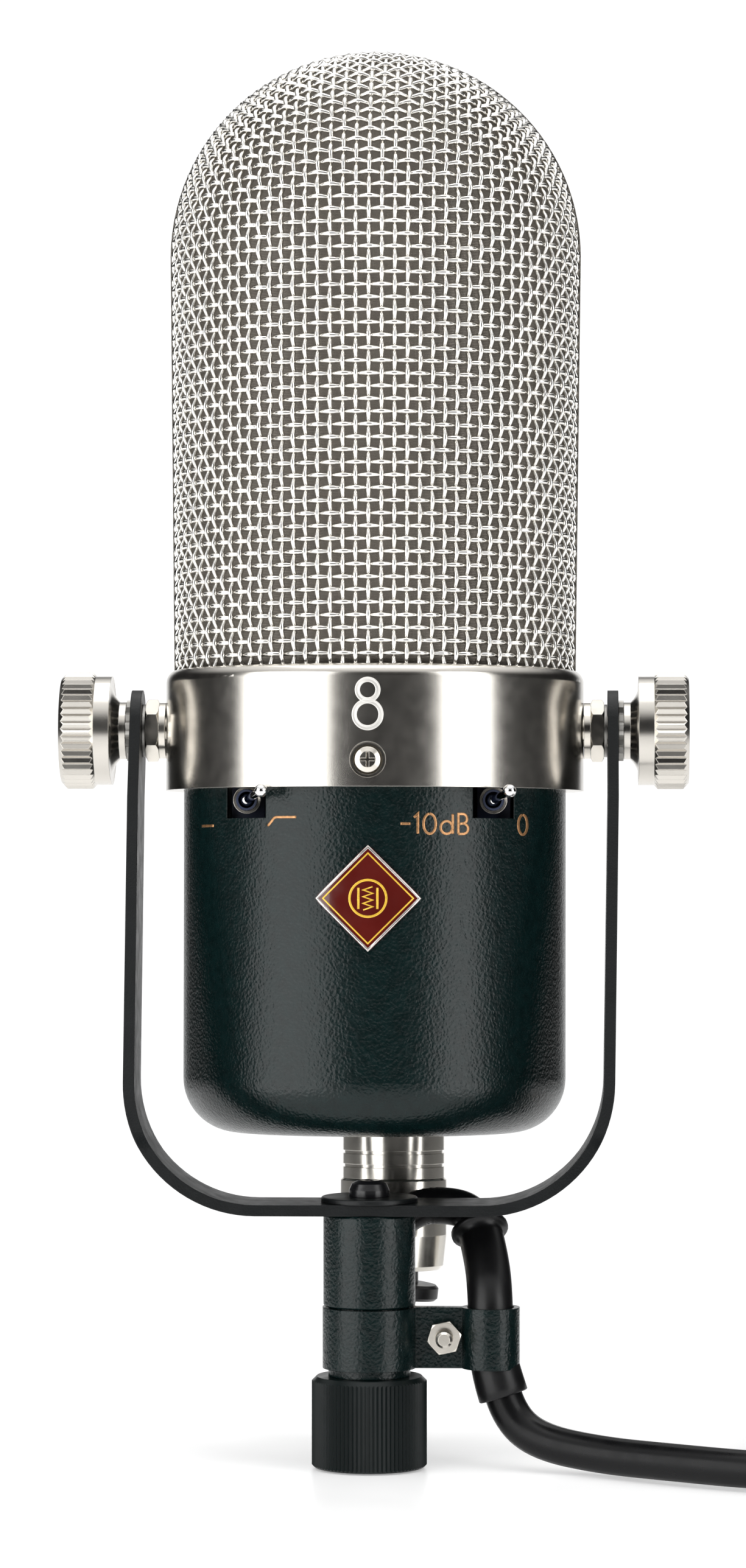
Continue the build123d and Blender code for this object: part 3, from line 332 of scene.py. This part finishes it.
def fine_mesh_material():
    """The brown-grey cloth of thin wires behind the coarse weave, drawn on its own threads.

    The weave replaces the colour and the relief that surface() gives, with painted shade in its gaps.
    """
    # the first colour is painted shade for the dark inside seen through the gaps, the second the threads' own
    # colour
    gap_painted_shade, bright = (0.030, 0.025, 0.021), (0.34, 0.31, 0.27)
    material = surface("fine_mesh", bright, 0.45, metallic=0.85, edge=0)
    tree = material.node_tree
    principled = tree.nodes["Principled BSDF"]
    threads = add(tree, "ShaderNodeUVMap").outputs[0]
    axes = add(tree, "ShaderNodeSeparateXYZ", {0: threads}).outputs
    wires = []
    for axis, count in ((axes["X"], FINE_ACROSS), (axes["Y"], FINE_UP)):
        turned = add(tree, "ShaderNodeMath", {0: axis, 1: 2 * pi * count}, operation="MULTIPLY").outputs[0]
        wave = add(tree, "ShaderNodeMath", {0: turned}, operation="SINE").outputs[0]
        halved = add(tree, "ShaderNodeMath", {0: wave, 1: 0.5, 2: 0.5}, operation="MULTIPLY_ADD")
        wires.append(halved.outputs[0])
    weave = add(tree, "ShaderNodeMath", {0: wires[0], 1: wires[1]}, operation="MAXIMUM").outputs[0]
    # painted shade in the gaps between the fine threads, and their own colour on the threads
    colour = mixed(tree, weave, (*gap_painted_shade, 1), (*bright, 1))
    tree.links.new(colour, principled.inputs["Base Color"])
    bump = add(tree, "ShaderNodeBump", {"Height": weave, "Distance": 6e-5, "Strength": 1.0})
    tree.links.new(bump.outputs[0], principled.inputs["Normal"])
    return material


def paints_and_plastics():
    """What surface() takes for everything that isn't bare metal."""
    soft_black = (0.004, 0.004, 0.0045)
    return {
        "green_paint": dict(
            color=(0.0020, 0.0085, 0.0085),
            roughness=0.25,
            spread=0.25,
            blotch=2.0,
            wander=0.04,
            bump=60.0,
            height=hide,
            edge=0.25,
            Specular_IOR_Level=0.30,
        ),
        "black_paint": dict(
            color=(0.003, 0.004, 0.0045),
            roughness=0.40,
            grit=0.35,
            bump=30.0,
            edge=0.3,
            Specular_IOR_Level=0.3,
        ),
        "black_ring": dict(
            color=(0.003, 0.006, 0.006), roughness=0.34, grit=0.3, bump=4.0, edge=0.05, Specular_IOR_Level=0.2
        ),
        "black_screw": dict(color=(0.006, 0.006, 0.007), roughness=0.22, bump=1.5, edge=0.15),
        "red_enamel": dict(color=(0.085, 0.008, 0.006), roughness=0.16, grit=0.6, bump=1.5, Coat_Weight=0.5),
        "gold_line": dict(
            color=(0.80, 0.50, 0.05), roughness=0.30, metallic=0.3, spread=0.1, blotch=2.0, edge=0
        ),
        "switch_case": dict(color=(0.012, 0.02, 0.05), roughness=0.5),
        "circuit_board": dict(color=(0.015, 0.10, 0.05), roughness=0.4, grit=1.0),
        "capacitor_case": dict(color=(0.26, 0.02, 0.02), roughness=0.25),
        "coil_tape": dict(color=(0.48, 0.30, 0.05), roughness=0.4, stretch=(8, 8, 1)),
        "black_plastic": dict(color=(0.010, 0.010, 0.010), roughness=0.45),
        "black_rubber": dict(
            color=soft_black, roughness=0.36, grit=0.5, bump=7.0, edge=0.2, Specular_IOR_Level=0.35
        ),
        "cable_jacket": dict(
            color=soft_black, roughness=0.30, grit=0.8, bump=6.0, edge=0, Specular_IOR_Level=0.2
        ),
    }


def metals():
    """What surface() takes for every bare metal."""
    return {
        "satin_nickel": dict(
            color=(0.66, 0.63, 0.58),
            roughness=0.20,
            spread=0.03,
            wander=0.015,
            grit=0.10,
            bump=4.5,
            edge=0.15,
        ),
        "bright_nickel": dict(
            color=(0.70, 0.67, 0.61), roughness=0.18, spread=0.05, wander=0.02, grit=0.2, bump=1.6
        ),
        "nickel_screws": dict(color=(0.76, 0.72, 0.65), roughness=0.20, bump=1.2, edge=0.15),
        "dark_nickel": dict(color=(0.44, 0.41, 0.37), roughness=0.26, spread=0.06, grit=0.3, bump=2.0),
        "wire_mesh": dict(color=(0.90, 0.88, 0.84), roughness=0.22, spread=0.06, bump=1.0, edge=0),
        "chrome": dict(color=(0.80, 0.80, 0.80), roughness=0.07, spread=0.03, wander=0.02, bump=0.3, edge=0),
        "spring_steel": dict(color=(0.36, 0.35, 0.33), roughness=0.32, stretch=(6, 1, 1)),
        "aluminium_plate": dict(color=(0.60, 0.61, 0.62), roughness=0.34, stretch=(8, 1, 1)),
        "core_iron": dict(
            color=(0.07, 0.07, 0.075), roughness=0.5, metallic=0.7, grit=0.35, stretch=(1, 8, 8), bump=20.0
        ),
        "brass": dict(color=(0.60, 0.42, 0.16), roughness=0.28, stretch=(6, 1, 1)),
        "magnet": dict(color=(0.10, 0.10, 0.11), roughness=0.36, metallic=0.9),
        "ribbon_foil": dict(color=(0.82, 0.83, 0.85), roughness=0.22, grit=0.8),
        "pin_silver": dict(color=(0.80, 0.77, 0.68), roughness=0.16),
        "copper_inlay": dict(
            color=(0.42, 0.22, 0.10), roughness=0.38, metallic=0.8, spread=0.25, blotch=0.8, grit=0.2
        ),
        "silver_edge": dict(color=(0.62, 0.58, 0.55), roughness=0.28, spread=0.2, blotch=1.2, bump=6.0),
        "engraving": dict(
            color=(0.86, 0.84, 0.80), roughness=0.42, metallic=0.7, spread=0.05, grit=0.25, bump=3.0, edge=0
        ),
    }


def make_materials():
    """One material for each of the record's slots, and those of the signs and the badge's lines."""
    looks = {name: surface(name, **finish) for name, finish in paints_and_plastics().items()}
    for name, finish in metals().items():
        looks[name] = surface(name, **{"metallic": 1.0, **finish})
    looks["fine_mesh"] = fine_mesh_material()
    return looks


# ---------------------------------------------------------------- mesh helpers
class Form:
    """Collects the corners and faces of one piece."""

    def __init__(self):
        self.corners = []
        self.faces = []

    def skin(self, rings, closed=False):
        """Joins a row of rings, each a closed loop of the same number of points."""
        start = len(self.corners)
        count = len(rings[0])
        for ring in rings:
            self.corners.extend(ring)
        pairs = len(rings) if closed else len(rings) - 1
        for i in range(pairs):
            low = start + i * count
            high = start + (i + 1) % len(rings) * count
            for k in range(count):
                n = (k + 1) % count
                self.faces.append((low + k, low + n, high + n, high + k))
        if not closed:
            self.faces.append(tuple(range(start + count - 1, start - 1, -1)))
            last = start + (len(rings) - 1) * count
            self.faces.append(tuple(range(last, last + count)))

    def piece(self, name, material, body, slot=None, place=None):
        """Makes the object, puts it in the part's frame and lets it ride on its body."""
        mesh = bpy.data.meshes.new(name)
        mesh.from_pydata(self.corners, [], self.faces)
        if place:
            mesh.transform(place)
        tidy = bmesh.new()
        tidy.from_mesh(mesh)
        bmesh.ops.recalc_face_normals(tidy, faces=tidy.faces)
        tidy.to_mesh(mesh)
        tidy.free()
        mesh.shade_smooth()
        mesh.materials.append(material)
        made = bpy.data.objects.new(name, mesh)
        bpy.context.scene.collection.objects.link(made)
        if body:
            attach(made, body)
        return made


def ring_at(middle, ahead, up, radius, sides):
    """A circle of points round middle, square to the way ahead."""
    across = ahead.cross(up).normalized()
    up = across.cross(ahead).normalized()
    turns = [2 * pi * k / sides for k in range(sides)]
    return [middle + up * (cos(a) * radius) + across * (sin(a) * radius) for a in turns]


def tube(form, points, ups, radius, sides):
    """A round tube through points, each with the direction that its first side faces."""
    rings = []
    for i, point in enumerate(points):
        ahead = points[min(i + 1, len(points) - 1)] - points[max(i - 1, 0)]
        rings.append(ring_at(point, ahead, ups[i], radius, sides))
    form.skin(rings)


def stroke(form, path, profile, radius, closed=False):
    """Lays a profile along a line drawn on the front of an upright tube of that radius.

    The line's points are (x, z), and the profile's are (sideways, height over the tube).
    """
    least_cosine = 0.4  # keeps the outer corner of a sharp bend from running away
    rings = []
    for i, (x, z) in enumerate(path):
        here = Vector((x, z))
        before = Vector(path[i - 1]) if i or closed else None
        after = Vector(path[(i + 1) % len(path)]) if closed or i + 1 < len(path) else None
        into = (here - before).normalized() if before else (after - here).normalized()
        out = (after - here).normalized() if after else into
        side_in = Vector((-into.y, into.x))
        side = (side_in + Vector((-out.y, out.x))).normalized()
        miter = 1 / max(least_cosine, side.dot(side_in))
        ring = []
        for sideways, height in profile:
            px = x + side.x * sideways * miter
            pz = z + side.y * sideways * miter
            share = px / radius
            outward = Vector((share, -sqrt(1 - share * share), 0))
            ring.append(outward * (radius + height) + Vector((0, 0, pz)))
        rings.append(ring)
    form.skin(rings, closed)


def flat_bead(half, high, low=-0.1):
    """The profile of a flat line with broken edges, by half its width, its top and its foot."""
    right = [(half * 0.8, high), (half, high * 0.4), (half, low)]
    return [(-x, z) for x, z in reversed(right)] + right


def divided(path, reach):
    """The same line with points no further apart than reach, so that it can follow a curve."""
    points = [path[0]]
    for (x0, z0), (x1, z1) in zip(path, path[1:]):
        steps = max(1, round(sqrt((x1 - x0) ** 2 + (z1 - z0) ** 2) / reach))
        points += [(x0 + (x1 - x0) * i / steps, z0 + (z1 - z0) * i / steps) for i in range(1, steps + 1)]
    return points


def arc(cx, cz, rx, rz, start, end, steps):
    """Points of an elliptic arc, with its angles in degrees."""
    turns = [radians(start + (end - start) * i / steps) for i in range(steps + 1)]
    return [(cx + rx * cos(a), cz + rz * sin(a)) for a in turns]


# ---------------------------------------------------------------- the lead
def spline_object(name, points):
    """A smooth open curve with the given control points."""
    data = bpy.data.curves.new(name, "CURVE")
    data.dimensions = "3D"
    spline = data.splines.new("NURBS")
    spline.points.add(len(points) - 1)
    for target, point in zip(spline.points, points):
        target.co = (*point, 1)
    spline.order_u = 3
    spline.use_endpoint_u = True
    spline.resolution_u = 8
    made = bpy.data.objects.new(name, data)
    bpy.context.scene.collection.objects.link(made)
    return made


def line_of(points):
    """The points that a route's smooth spline runs through."""
    made = spline_object("route", points)
    graph = bpy.context.evaluated_depsgraph_get()
    mesh = bpy.data.meshes.new_from_object(made.evaluated_get(graph))
    line = [v.co.copy() for v in mesh.vertices]
    bpy.data.objects.remove(made)
    bpy.data.meshes.remove(mesh)
    return line


def length_of(line):
    """The length of a line of points."""
    return sum((b - a).length for a, b in zip(line, line[1:]))


def eased(value, low, high):
    """0 before low, 1 after high and a smooth step between."""
    t = min(1.0, max(0.0, (value - low) / (high - low)))
    return t * t * (3 - 2 * t)


def coil_points():
    """The coil's turns: four inwards on the floor, up a layer, then outwards on top of them.

    Each turn keeps its radius and moves over by one cord in a short stretch, and the outward
    moves come before the place where the lead climbs, so that no turn meets another.
    """
    step = 2 * CORD_R
    inward = [(k + 0.8, k + 1.0) for k in range(3)]  # each move begins and ends at these turns
    climb = (3.6, 3.8)
    outward = [(k + 0.4, k + 0.6) for k in range(4, 7)]
    count = int(COIL_TURNS * COIL_POINTS)
    points = []
    for i in range(count):
        turn = i / COIL_POINTS
        moved = sum(eased(turn, *span) for span in inward) - sum(eased(turn, *span) for span in outward)
        # the curve only touches the lines from one control point to the next at their middles
        radius = (COIL_OUTER_R - step * moved) / cos(pi / COIL_POINTS)
        height = CORD_R + step * eased(turn, *climb)
        angle = 2 * pi * turn - pi / 2
        x = COIL_MIDDLE[0] + radius * cos(angle)
        y = COIL_MIDDLE[1] + radius * sin(angle)
        points.append((x, y, height))
    return points


def make_main_cord(material):
    """The lead from the sleeve over the floor, round the coil and into its plug."""
    points = CABLE_ROUTE + coil_points() + TAIL_ROUTE
    length = length_of(line_of(points))
    cord = spline_object("lead", points)
    cord.data.bevel_depth = CORD_R
    cord.data.bevel_resolution = 5
    cord.data.use_fill_caps = True
    cord.data.materials.append(material)
    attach(cord, "stand")
    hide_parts("cable", "cable_coil", "cable_tail")
    plug = ["line_plug_shell", "line_plug_insert", "line_plug_pins", "line_plug_boot"]
    [NODES[name] for name in plug] + [make_tie()]


def make_tie():
    """A hook-and-loop strap round the coil at its far side."""
    bend = 0.0035  # the radius of its inner corners
    half_strap, half_face = 0.0055, 0.0052  # half its width inside and outside
    height = TIE_OPENING[1] / 2 + TIE_THICK  # so that it lies on the floor
    x, z = TIE_OPENING[0] / 2 - bend, TIE_OPENING[1] / 2 - bend
    corners = [(x, z, 0), (-x, z, 90), (-x, -z, 180), (x, -z, 270)]
    inner, outer = (
        [p for cx, cz, a in corners for p in arc(cx, cz, radius, radius, a, a + 90, 6)]
        for radius in (bend, bend + TIE_THICK)
    )
    ahead = Vector((-sin(TIE_TURN), cos(TIE_TURN), 0))
    away = Vector((cos(TIE_TURN), sin(TIE_TURN), 0))
    middle = Vector((*COIL_MIDDLE, height)) + away * (COIL_OUTER_R - 3 * CORD_R)
    rings = []
    sides = ((inner, -half_strap), (outer, -half_face), (outer, half_face), (inner, half_strap))
    for outline, shift in sides:
        rings.append([middle + ahead * shift + away * px + Vector((0, 0, pz)) for px, pz in outline])
    form = Form()
    form.skin(rings, closed=True)
    material = surface("tie", (0.012, 0.012, 0.013), 0.85, grit=0.5, bump=60.0, edge=0, Sheen_Weight=0.4)
    return form.piece("coil_tie", material, "stand", "cable_jacket")


def make_loop(material):
    """The short lead from the microphone's plug, up behind the yoke and into the sleeve."""
    line = line_of(LOOP_ROUTE)
    form = Form()
    side = Vector((1, 0.15, 0.1))
    tube(form, line, [side] * len(line), CORD_R, 20)
    loop = form.piece("short_lead", material, None, "cable_jacket")
    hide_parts("cable_loop")
    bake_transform(loop)


def make_sleeve(material):
    """The rubber sleeve in the clip: flanged at its top and flared at its cut lower end."""
    line = line_of(SLEEVE_ROUTE)
    span = length_of(line)
    start = (line[1] - line[0]).normalized()
    end = (line[-1] - line[-2]).normalized()
    flange_r, below_flange = 0.00525, 0.0016
    # distances along the sleeve from its top, with the radius at each
    lip = [
        (-0.0001, SLEEVE_BORE_R),
        (0.0, 0.0050),
        (0.0002, flange_r),
        (0.0009, flange_r),
        (0.0011, 0.0050),
        (0.0013, 0.00415),
    ]
    points = [line[0] + start * along for along, radius in lip]
    radii = [radius for along, radius in lip]
    gone = 0.0
    for before, point in zip(line, line[1:]):
        gone += (point - before).length
        if (point - line[0]).dot(start) > below_flange:
            points.append(point)
            radii.append(SLEEVE_R + SLEEVE_FLARE * eased(gone / span, 0.55, 1.0))
    # the cut end: its broken edge, its face and a short way up its bore
    cut = [(0.0002, radii[-1] - 0.0002), (0.0002, SLEEVE_BORE_R), (-0.0008, 0.0035)]
    for along, radius in cut:
        points.append(line[-1] + end * along)
        radii.append(radius)
    rings = []
    for i, point in enumerate(points):
        if i < len(lip):
            ahead = start
        elif i >= len(points) - len(cut):
            ahead = end
        else:
            ahead = points[i + 1] - points[i - 1]
        rings.append(ring_at(point, ahead, Vector((0, -1, 0.2)), radii[i], 28))
    form = Form()
    form.skin(rings)
    sleeve = form.piece("sleeve", material, "stand", "black_rubber")
    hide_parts("cable_sleeve")


# ---------------------------------------------------------------- the grille
def drape():
    """Directions from the dome's middle to its crossings, each one cell from its neighbours.

    A woven sheet keeps the length of its threads, so each new crossing is the one opposite
    the corner already laid: that corner turned half way round the middle of its neighbours.
    """
    step = PITCH_Z / (GRILLE_R - 2 * WIRE_R)
    laid = {}
    for column in range(COLUMNS + 1):
        angle = LAST_COLUMN * column / COLUMNS
        laid[column, 0] = Vector((sin(angle), -cos(angle), 0))
    for row in range(1, ROWS_ABOVE + 1):
        laid[0, row] = Vector((0, -cos(row * step), sin(row * step)))
        for column in range(1, COLUMNS + 1):
            axis = (laid[column - 1, row] + laid[column, row - 1]).normalized()
            back = laid[column - 1, row - 1]
            laid[column, row] = 2 * axis * back.dot(axis) - back
    return laid


def crossing(laid, column, row, inset):
    """Where an upright and a level wire cross on the front half, and the way out from there."""
    side = -1 if column < 0 else 1
    out = laid[abs(column), max(row, 0)].copy()
    out.x *= side
    z = ARCH_Z + min(row, 0) * PITCH_Z
    flare = (GRILLE_R - GRILLE_FOOT_R) * min(1.0, (ARCH_Z - z) / (ARCH_Z - COLLAR_HALF))
    return out * (GRILLE_R - flare - inset) + Vector((0, 0, z)), out


def crimped(laid, cells, sign):
    """The line of one wire through its cells, waving out and in from one crossing to the next."""
    points, ups = [], []
    spots = [crossing(laid, column, row, 2 * WIRE_R) for column, row in cells]
    for i in range(len(cells) - 1):
        over = sign if sum(cells[i]) % 2 == 0 else -sign
        for k in range(WIRE_STEPS):
            t = k / WIRE_STEPS
            up = spots[i][1].lerp(spots[i + 1][1], t).normalized()
            points.append(spots[i][0].lerp(spots[i + 1][0], t) + up * (over * WIRE_R * cos(pi * t)))
            ups.append(up)
        if points[-1].y > -FRAME_EDGE:
            break
    return cut_at_frame(points, ups)


def cut_at_frame(points, ups):
    """Ends a wire's line just before the arch frame."""
    edge = -FRAME_EDGE - WIRE_R * END_GAP
    for i, point in enumerate(points):
        if point.y > edge and i:
            t = (edge - points[i - 1].y) / (point.y - points[i - 1].y)
            return points[:i] + [points[i - 1].lerp(point, t)], ups[: i + 1]
    return points, ups


def wire(form, points, ups):
    """Adds one wire, unless the arch frame leaves only a stub of it."""
    if len(points) > 2:
        tube(form, points, ups, WIRE_R, WIRE_SIDES)


def upright_wires(laid):
    """The wires that run up the front half and over its dome."""
    form = Form()
    for column in range(-COLUMNS, COLUMNS + 1):
        cells = [(column, row) for row in range(-ROWS_BELOW, ROWS_ABOVE + 1)]
        wire(form, *crimped(laid, cells, 1))
    return form


def level_wires(laid):
    """The wires that run round the front half, each joined from two that start at its middle."""
    form = Form()
    for row in range(-ROWS_BELOW, ROWS_ABOVE + 1):
        if crossing(laid, 0, row, 2 * WIRE_R)[0].y > -FRAME_EDGE - 2 * WIRE_R:
            continue
        halves = []
        for side in (-1, 1):
            cells = [(side * column, row) for column in range(COLUMNS + 1)]
            halves.append(crimped(laid, cells, -1))
        points = halves[0][0][:0:-1] + halves[1][0]
        ups = halves[0][1][:0:-1] + halves[1][1]
        wire(form, points, ups)
    return form


def liner(laid, name, material, place):
    """The fine mesh behind the wires, as one sheet whose UVs count the coarse cells."""
    form = Form()
    index, threads = {}, []
    for row in range(-ROWS_BELOW, ROWS_ABOVE + 1):
        for column in range(-COLUMNS, COLUMNS + 1):
            spot, out = crossing(laid, column, row, LINER_INSET)
            if spot.y > -FRAME_EDGE:
                high = max(0.0, spot.z - ARCH_Z)
                spread = sqrt(spot.x**2 + high**2)
                fit = (GRILLE_R - LINER_INSET) / max(spread, 1e-6)
                spot = Vector((spot.x * fit, -FRAME_EDGE, ARCH_Z + high * fit if high else spot.z))
            index[column, row] = len(form.corners)
            form.corners.append(spot)
            threads.append((column, row))
    for row in range(-ROWS_BELOW, ROWS_ABOVE):
        for column in range(-COLUMNS, COLUMNS):
            around = [(column, row), (column + 1, row), (column + 1, row + 1), (column, row + 1)]
            corners = [index[c] for c in around]
            if min(form.corners[c].y for c in corners) < -FRAME_EDGE - 0.01:
                form.faces.append(tuple(corners))
    sheet = form.piece(name, material, "microphone", "fine_mesh", place)
    uv = sheet.data.uv_layers.new(name="threads")
    for loop in sheet.data.loops:
        uv.data[loop.index].uv = threads[loop.vertex_index]
    thick = sheet.modifiers.new("thickness", "SOLIDIFY")
    thick.thickness = LINER_THICK * MM
    return sheet


def make_grille(looks):
    """Both halves of the basket: coarse woven wires with the fine mesh behind them."""
    laid = drape()
    uprights, levels = upright_wires(laid), level_wires(laid)
    for half, turn in (("front", 0.0), ("rear", pi)):
        place = HEAD @ Matrix.Rotation(turn, 4, "Z")
        for kind, form in (("upright", uprights), ("level", levels)):
            made = form.piece(f"{kind}_wires_{half}", looks["wire_mesh"], "microphone", "wire_mesh", place)
            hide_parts(f"grille_{half}")
        sheet = liner(laid, f"fine_mesh_{half}", looks["fine_mesh"], place)
        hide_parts(f"inner_mesh_{half}")


# ---------------------------------------------------------------- marks and badge
def make_pattern_sign(material):
    """The engraved figure-of-eight pattern sign on the collar: two grooves with raised lips."""
    right_side = [(0.1, 0.01), (0.2, 0.03), (0.34, 0.07), (0.46, 0.02), (0.46, -0.1)]
    groove = [(-x, z) for x, z in reversed(right_side)] + right_side
    upper_ring, lower_ring = (6.06, 1.85), (1.66, 2.4)  # the height of the middle, and the radius
    form = Form()
    for z, radius in (upper_ring, lower_ring):
        stroke(form, arc(0, z, radius, radius, 0, 345, 46), groove, COLLAR_R, closed=True)
    form.piece("pattern_sign", material, "microphone", "satin_nickel", HEAD)


def make_marks(material):
    """The inlaid signs beside the switches: flat and rolled-off response, -10 dB and 0."""
    line = flat_bead(0.23, 0.04)
    top, low = -16.0, -19.6
    middle = (top + low) / 2
    half = (top - low) / 2
    upper_bow = arc(16.9, top - 0.85, 0.75, 0.85, 80, -80, 8)
    lower_bow = arc(16.9, low + 0.95, 0.95, 0.95, 80, -80, 8)
    responses = [
        [(-31.0, -18.0), (-28.6, -18.0)],
        [(-18.3, -18.2)] + arc(-16.6, -17.9, 1.0, 1.3, 150, 90, 5) + [(-13.0, -16.6)],
    ]
    minus_ten = [
        [(5.8, middle), (7.6, middle)],
        [(8.2, top - 0.7), (8.9, top), (8.9, low)],
        arc(11.0, middle, 1.1, half, 90, 450, 22),
    ]
    decibels = [
        [(15.1, top), (15.1, low)],
        arc(14.0, low + 1.15, 1.05, 1.15, 0, 350, 18),
        [(16.1, low), (16.1, top), (16.9, top)] + upper_bow + [(16.2, middle)],
        [(16.9, middle)] + lower_bow + [(16.1, low)],
    ]
    nought = arc(27.6, middle, 0.8, half, 90, 450, 22)
    form = Form()
    for path in responses + minus_ten + decibels + [nought]:
        stroke(form, divided(path, MARK_REACH), line, SHELL_R)
    form.piece("switch_marks", material, "microphone", "brass", HEAD)


def diamond(half, steps=6):
    """The outline of the badge at a half diagonal, with points along its sides so that it bends."""
    corners = [(half, 0), (0, half), (-half, 0), (0, -half)]
    points = []
    for (x0, z0), (x1, z1) in zip(corners, corners[1:] + corners[:1]):
        points += [(x0 + (x1 - x0) * i / steps, z0 + (z1 - z0) * i / steps + BADGE_Z) for i in range(steps)]
    return points


def make_badge(looks):
    """The diamond's silver rim, its thin gold line and a plain emblem: a ring round a ribbon."""
    rim = Form()
    stroke(rim, diamond(BADGE_HALF - BADGE_RIM), flat_bead(0.24, 0.18, -0.5), BADGE_R, closed=True)
    rim.piece("badge_rim", looks["silver_edge"], "microphone", "bright_nickel", HEAD)
    thin, bold = flat_bead(0.13, 0.03), flat_bead(0.21, 0.04)
    fold_wide, fold_high, folds_top = 0.85, 0.6, 2.1
    bar_x, bar_half = 1.7, 1.9
    folds = [(fold_wide * (-1) ** i, BADGE_Z + folds_top - fold_high * i) for i in range(8)]
    gold = Form()
    stroke(gold, diamond(BADGE_HALF - BADGE_GOLD), thin, BADGE_R, closed=True)
    stroke(gold, arc(0, BADGE_Z, EMBLEM_R, EMBLEM_R, 0, 350, 35), bold, BADGE_R, closed=True)
    stroke(gold, folds, thin, BADGE_R)
    for x in (-bar_x, bar_x):
        stroke(gold, [(x, BADGE_Z - bar_half), (x, BADGE_Z + bar_half)], bold, BADGE_R)
    gold.piece("badge_lines", looks["gold_line"], "microphone", "brass", HEAD)


# ---------------------------------------------------------------- making it all
bpy.context.scene.view_settings.view_transform = "Standard"
make_camera()
LOOKS = make_materials()
make_main_cord(LOOKS["cable_jacket"])
make_loop(LOOKS["cable_jacket"])
make_sleeve(LOOKS["black_rubber"])
make_floor()
make_world()
make_light("left_box", (-0.78, -0.66, 0.24), BODY_MIDDLE, width=1.00, height=1.1, power=10.0)
make_light("right_box", (0.83, -0.60, 0.24), BODY_MIDDLE, width=0.55, height=1.1, power=6.0)
make_light("top_box", (0.0, 0.1, 1.3), (0, 0, 0), width=1.2, height=1.2, power=6.0)

for part in frame["record"]["subparts"]:
    for socket in NODES[part["node"]].material_slots:
        socket.material = LOOKS[part["material_slot"]]

make_grille(LOOKS)
make_pattern_sign(LOOKS["engraving"])
make_marks(LOOKS["copper_inlay"])
make_badge(LOOKS)
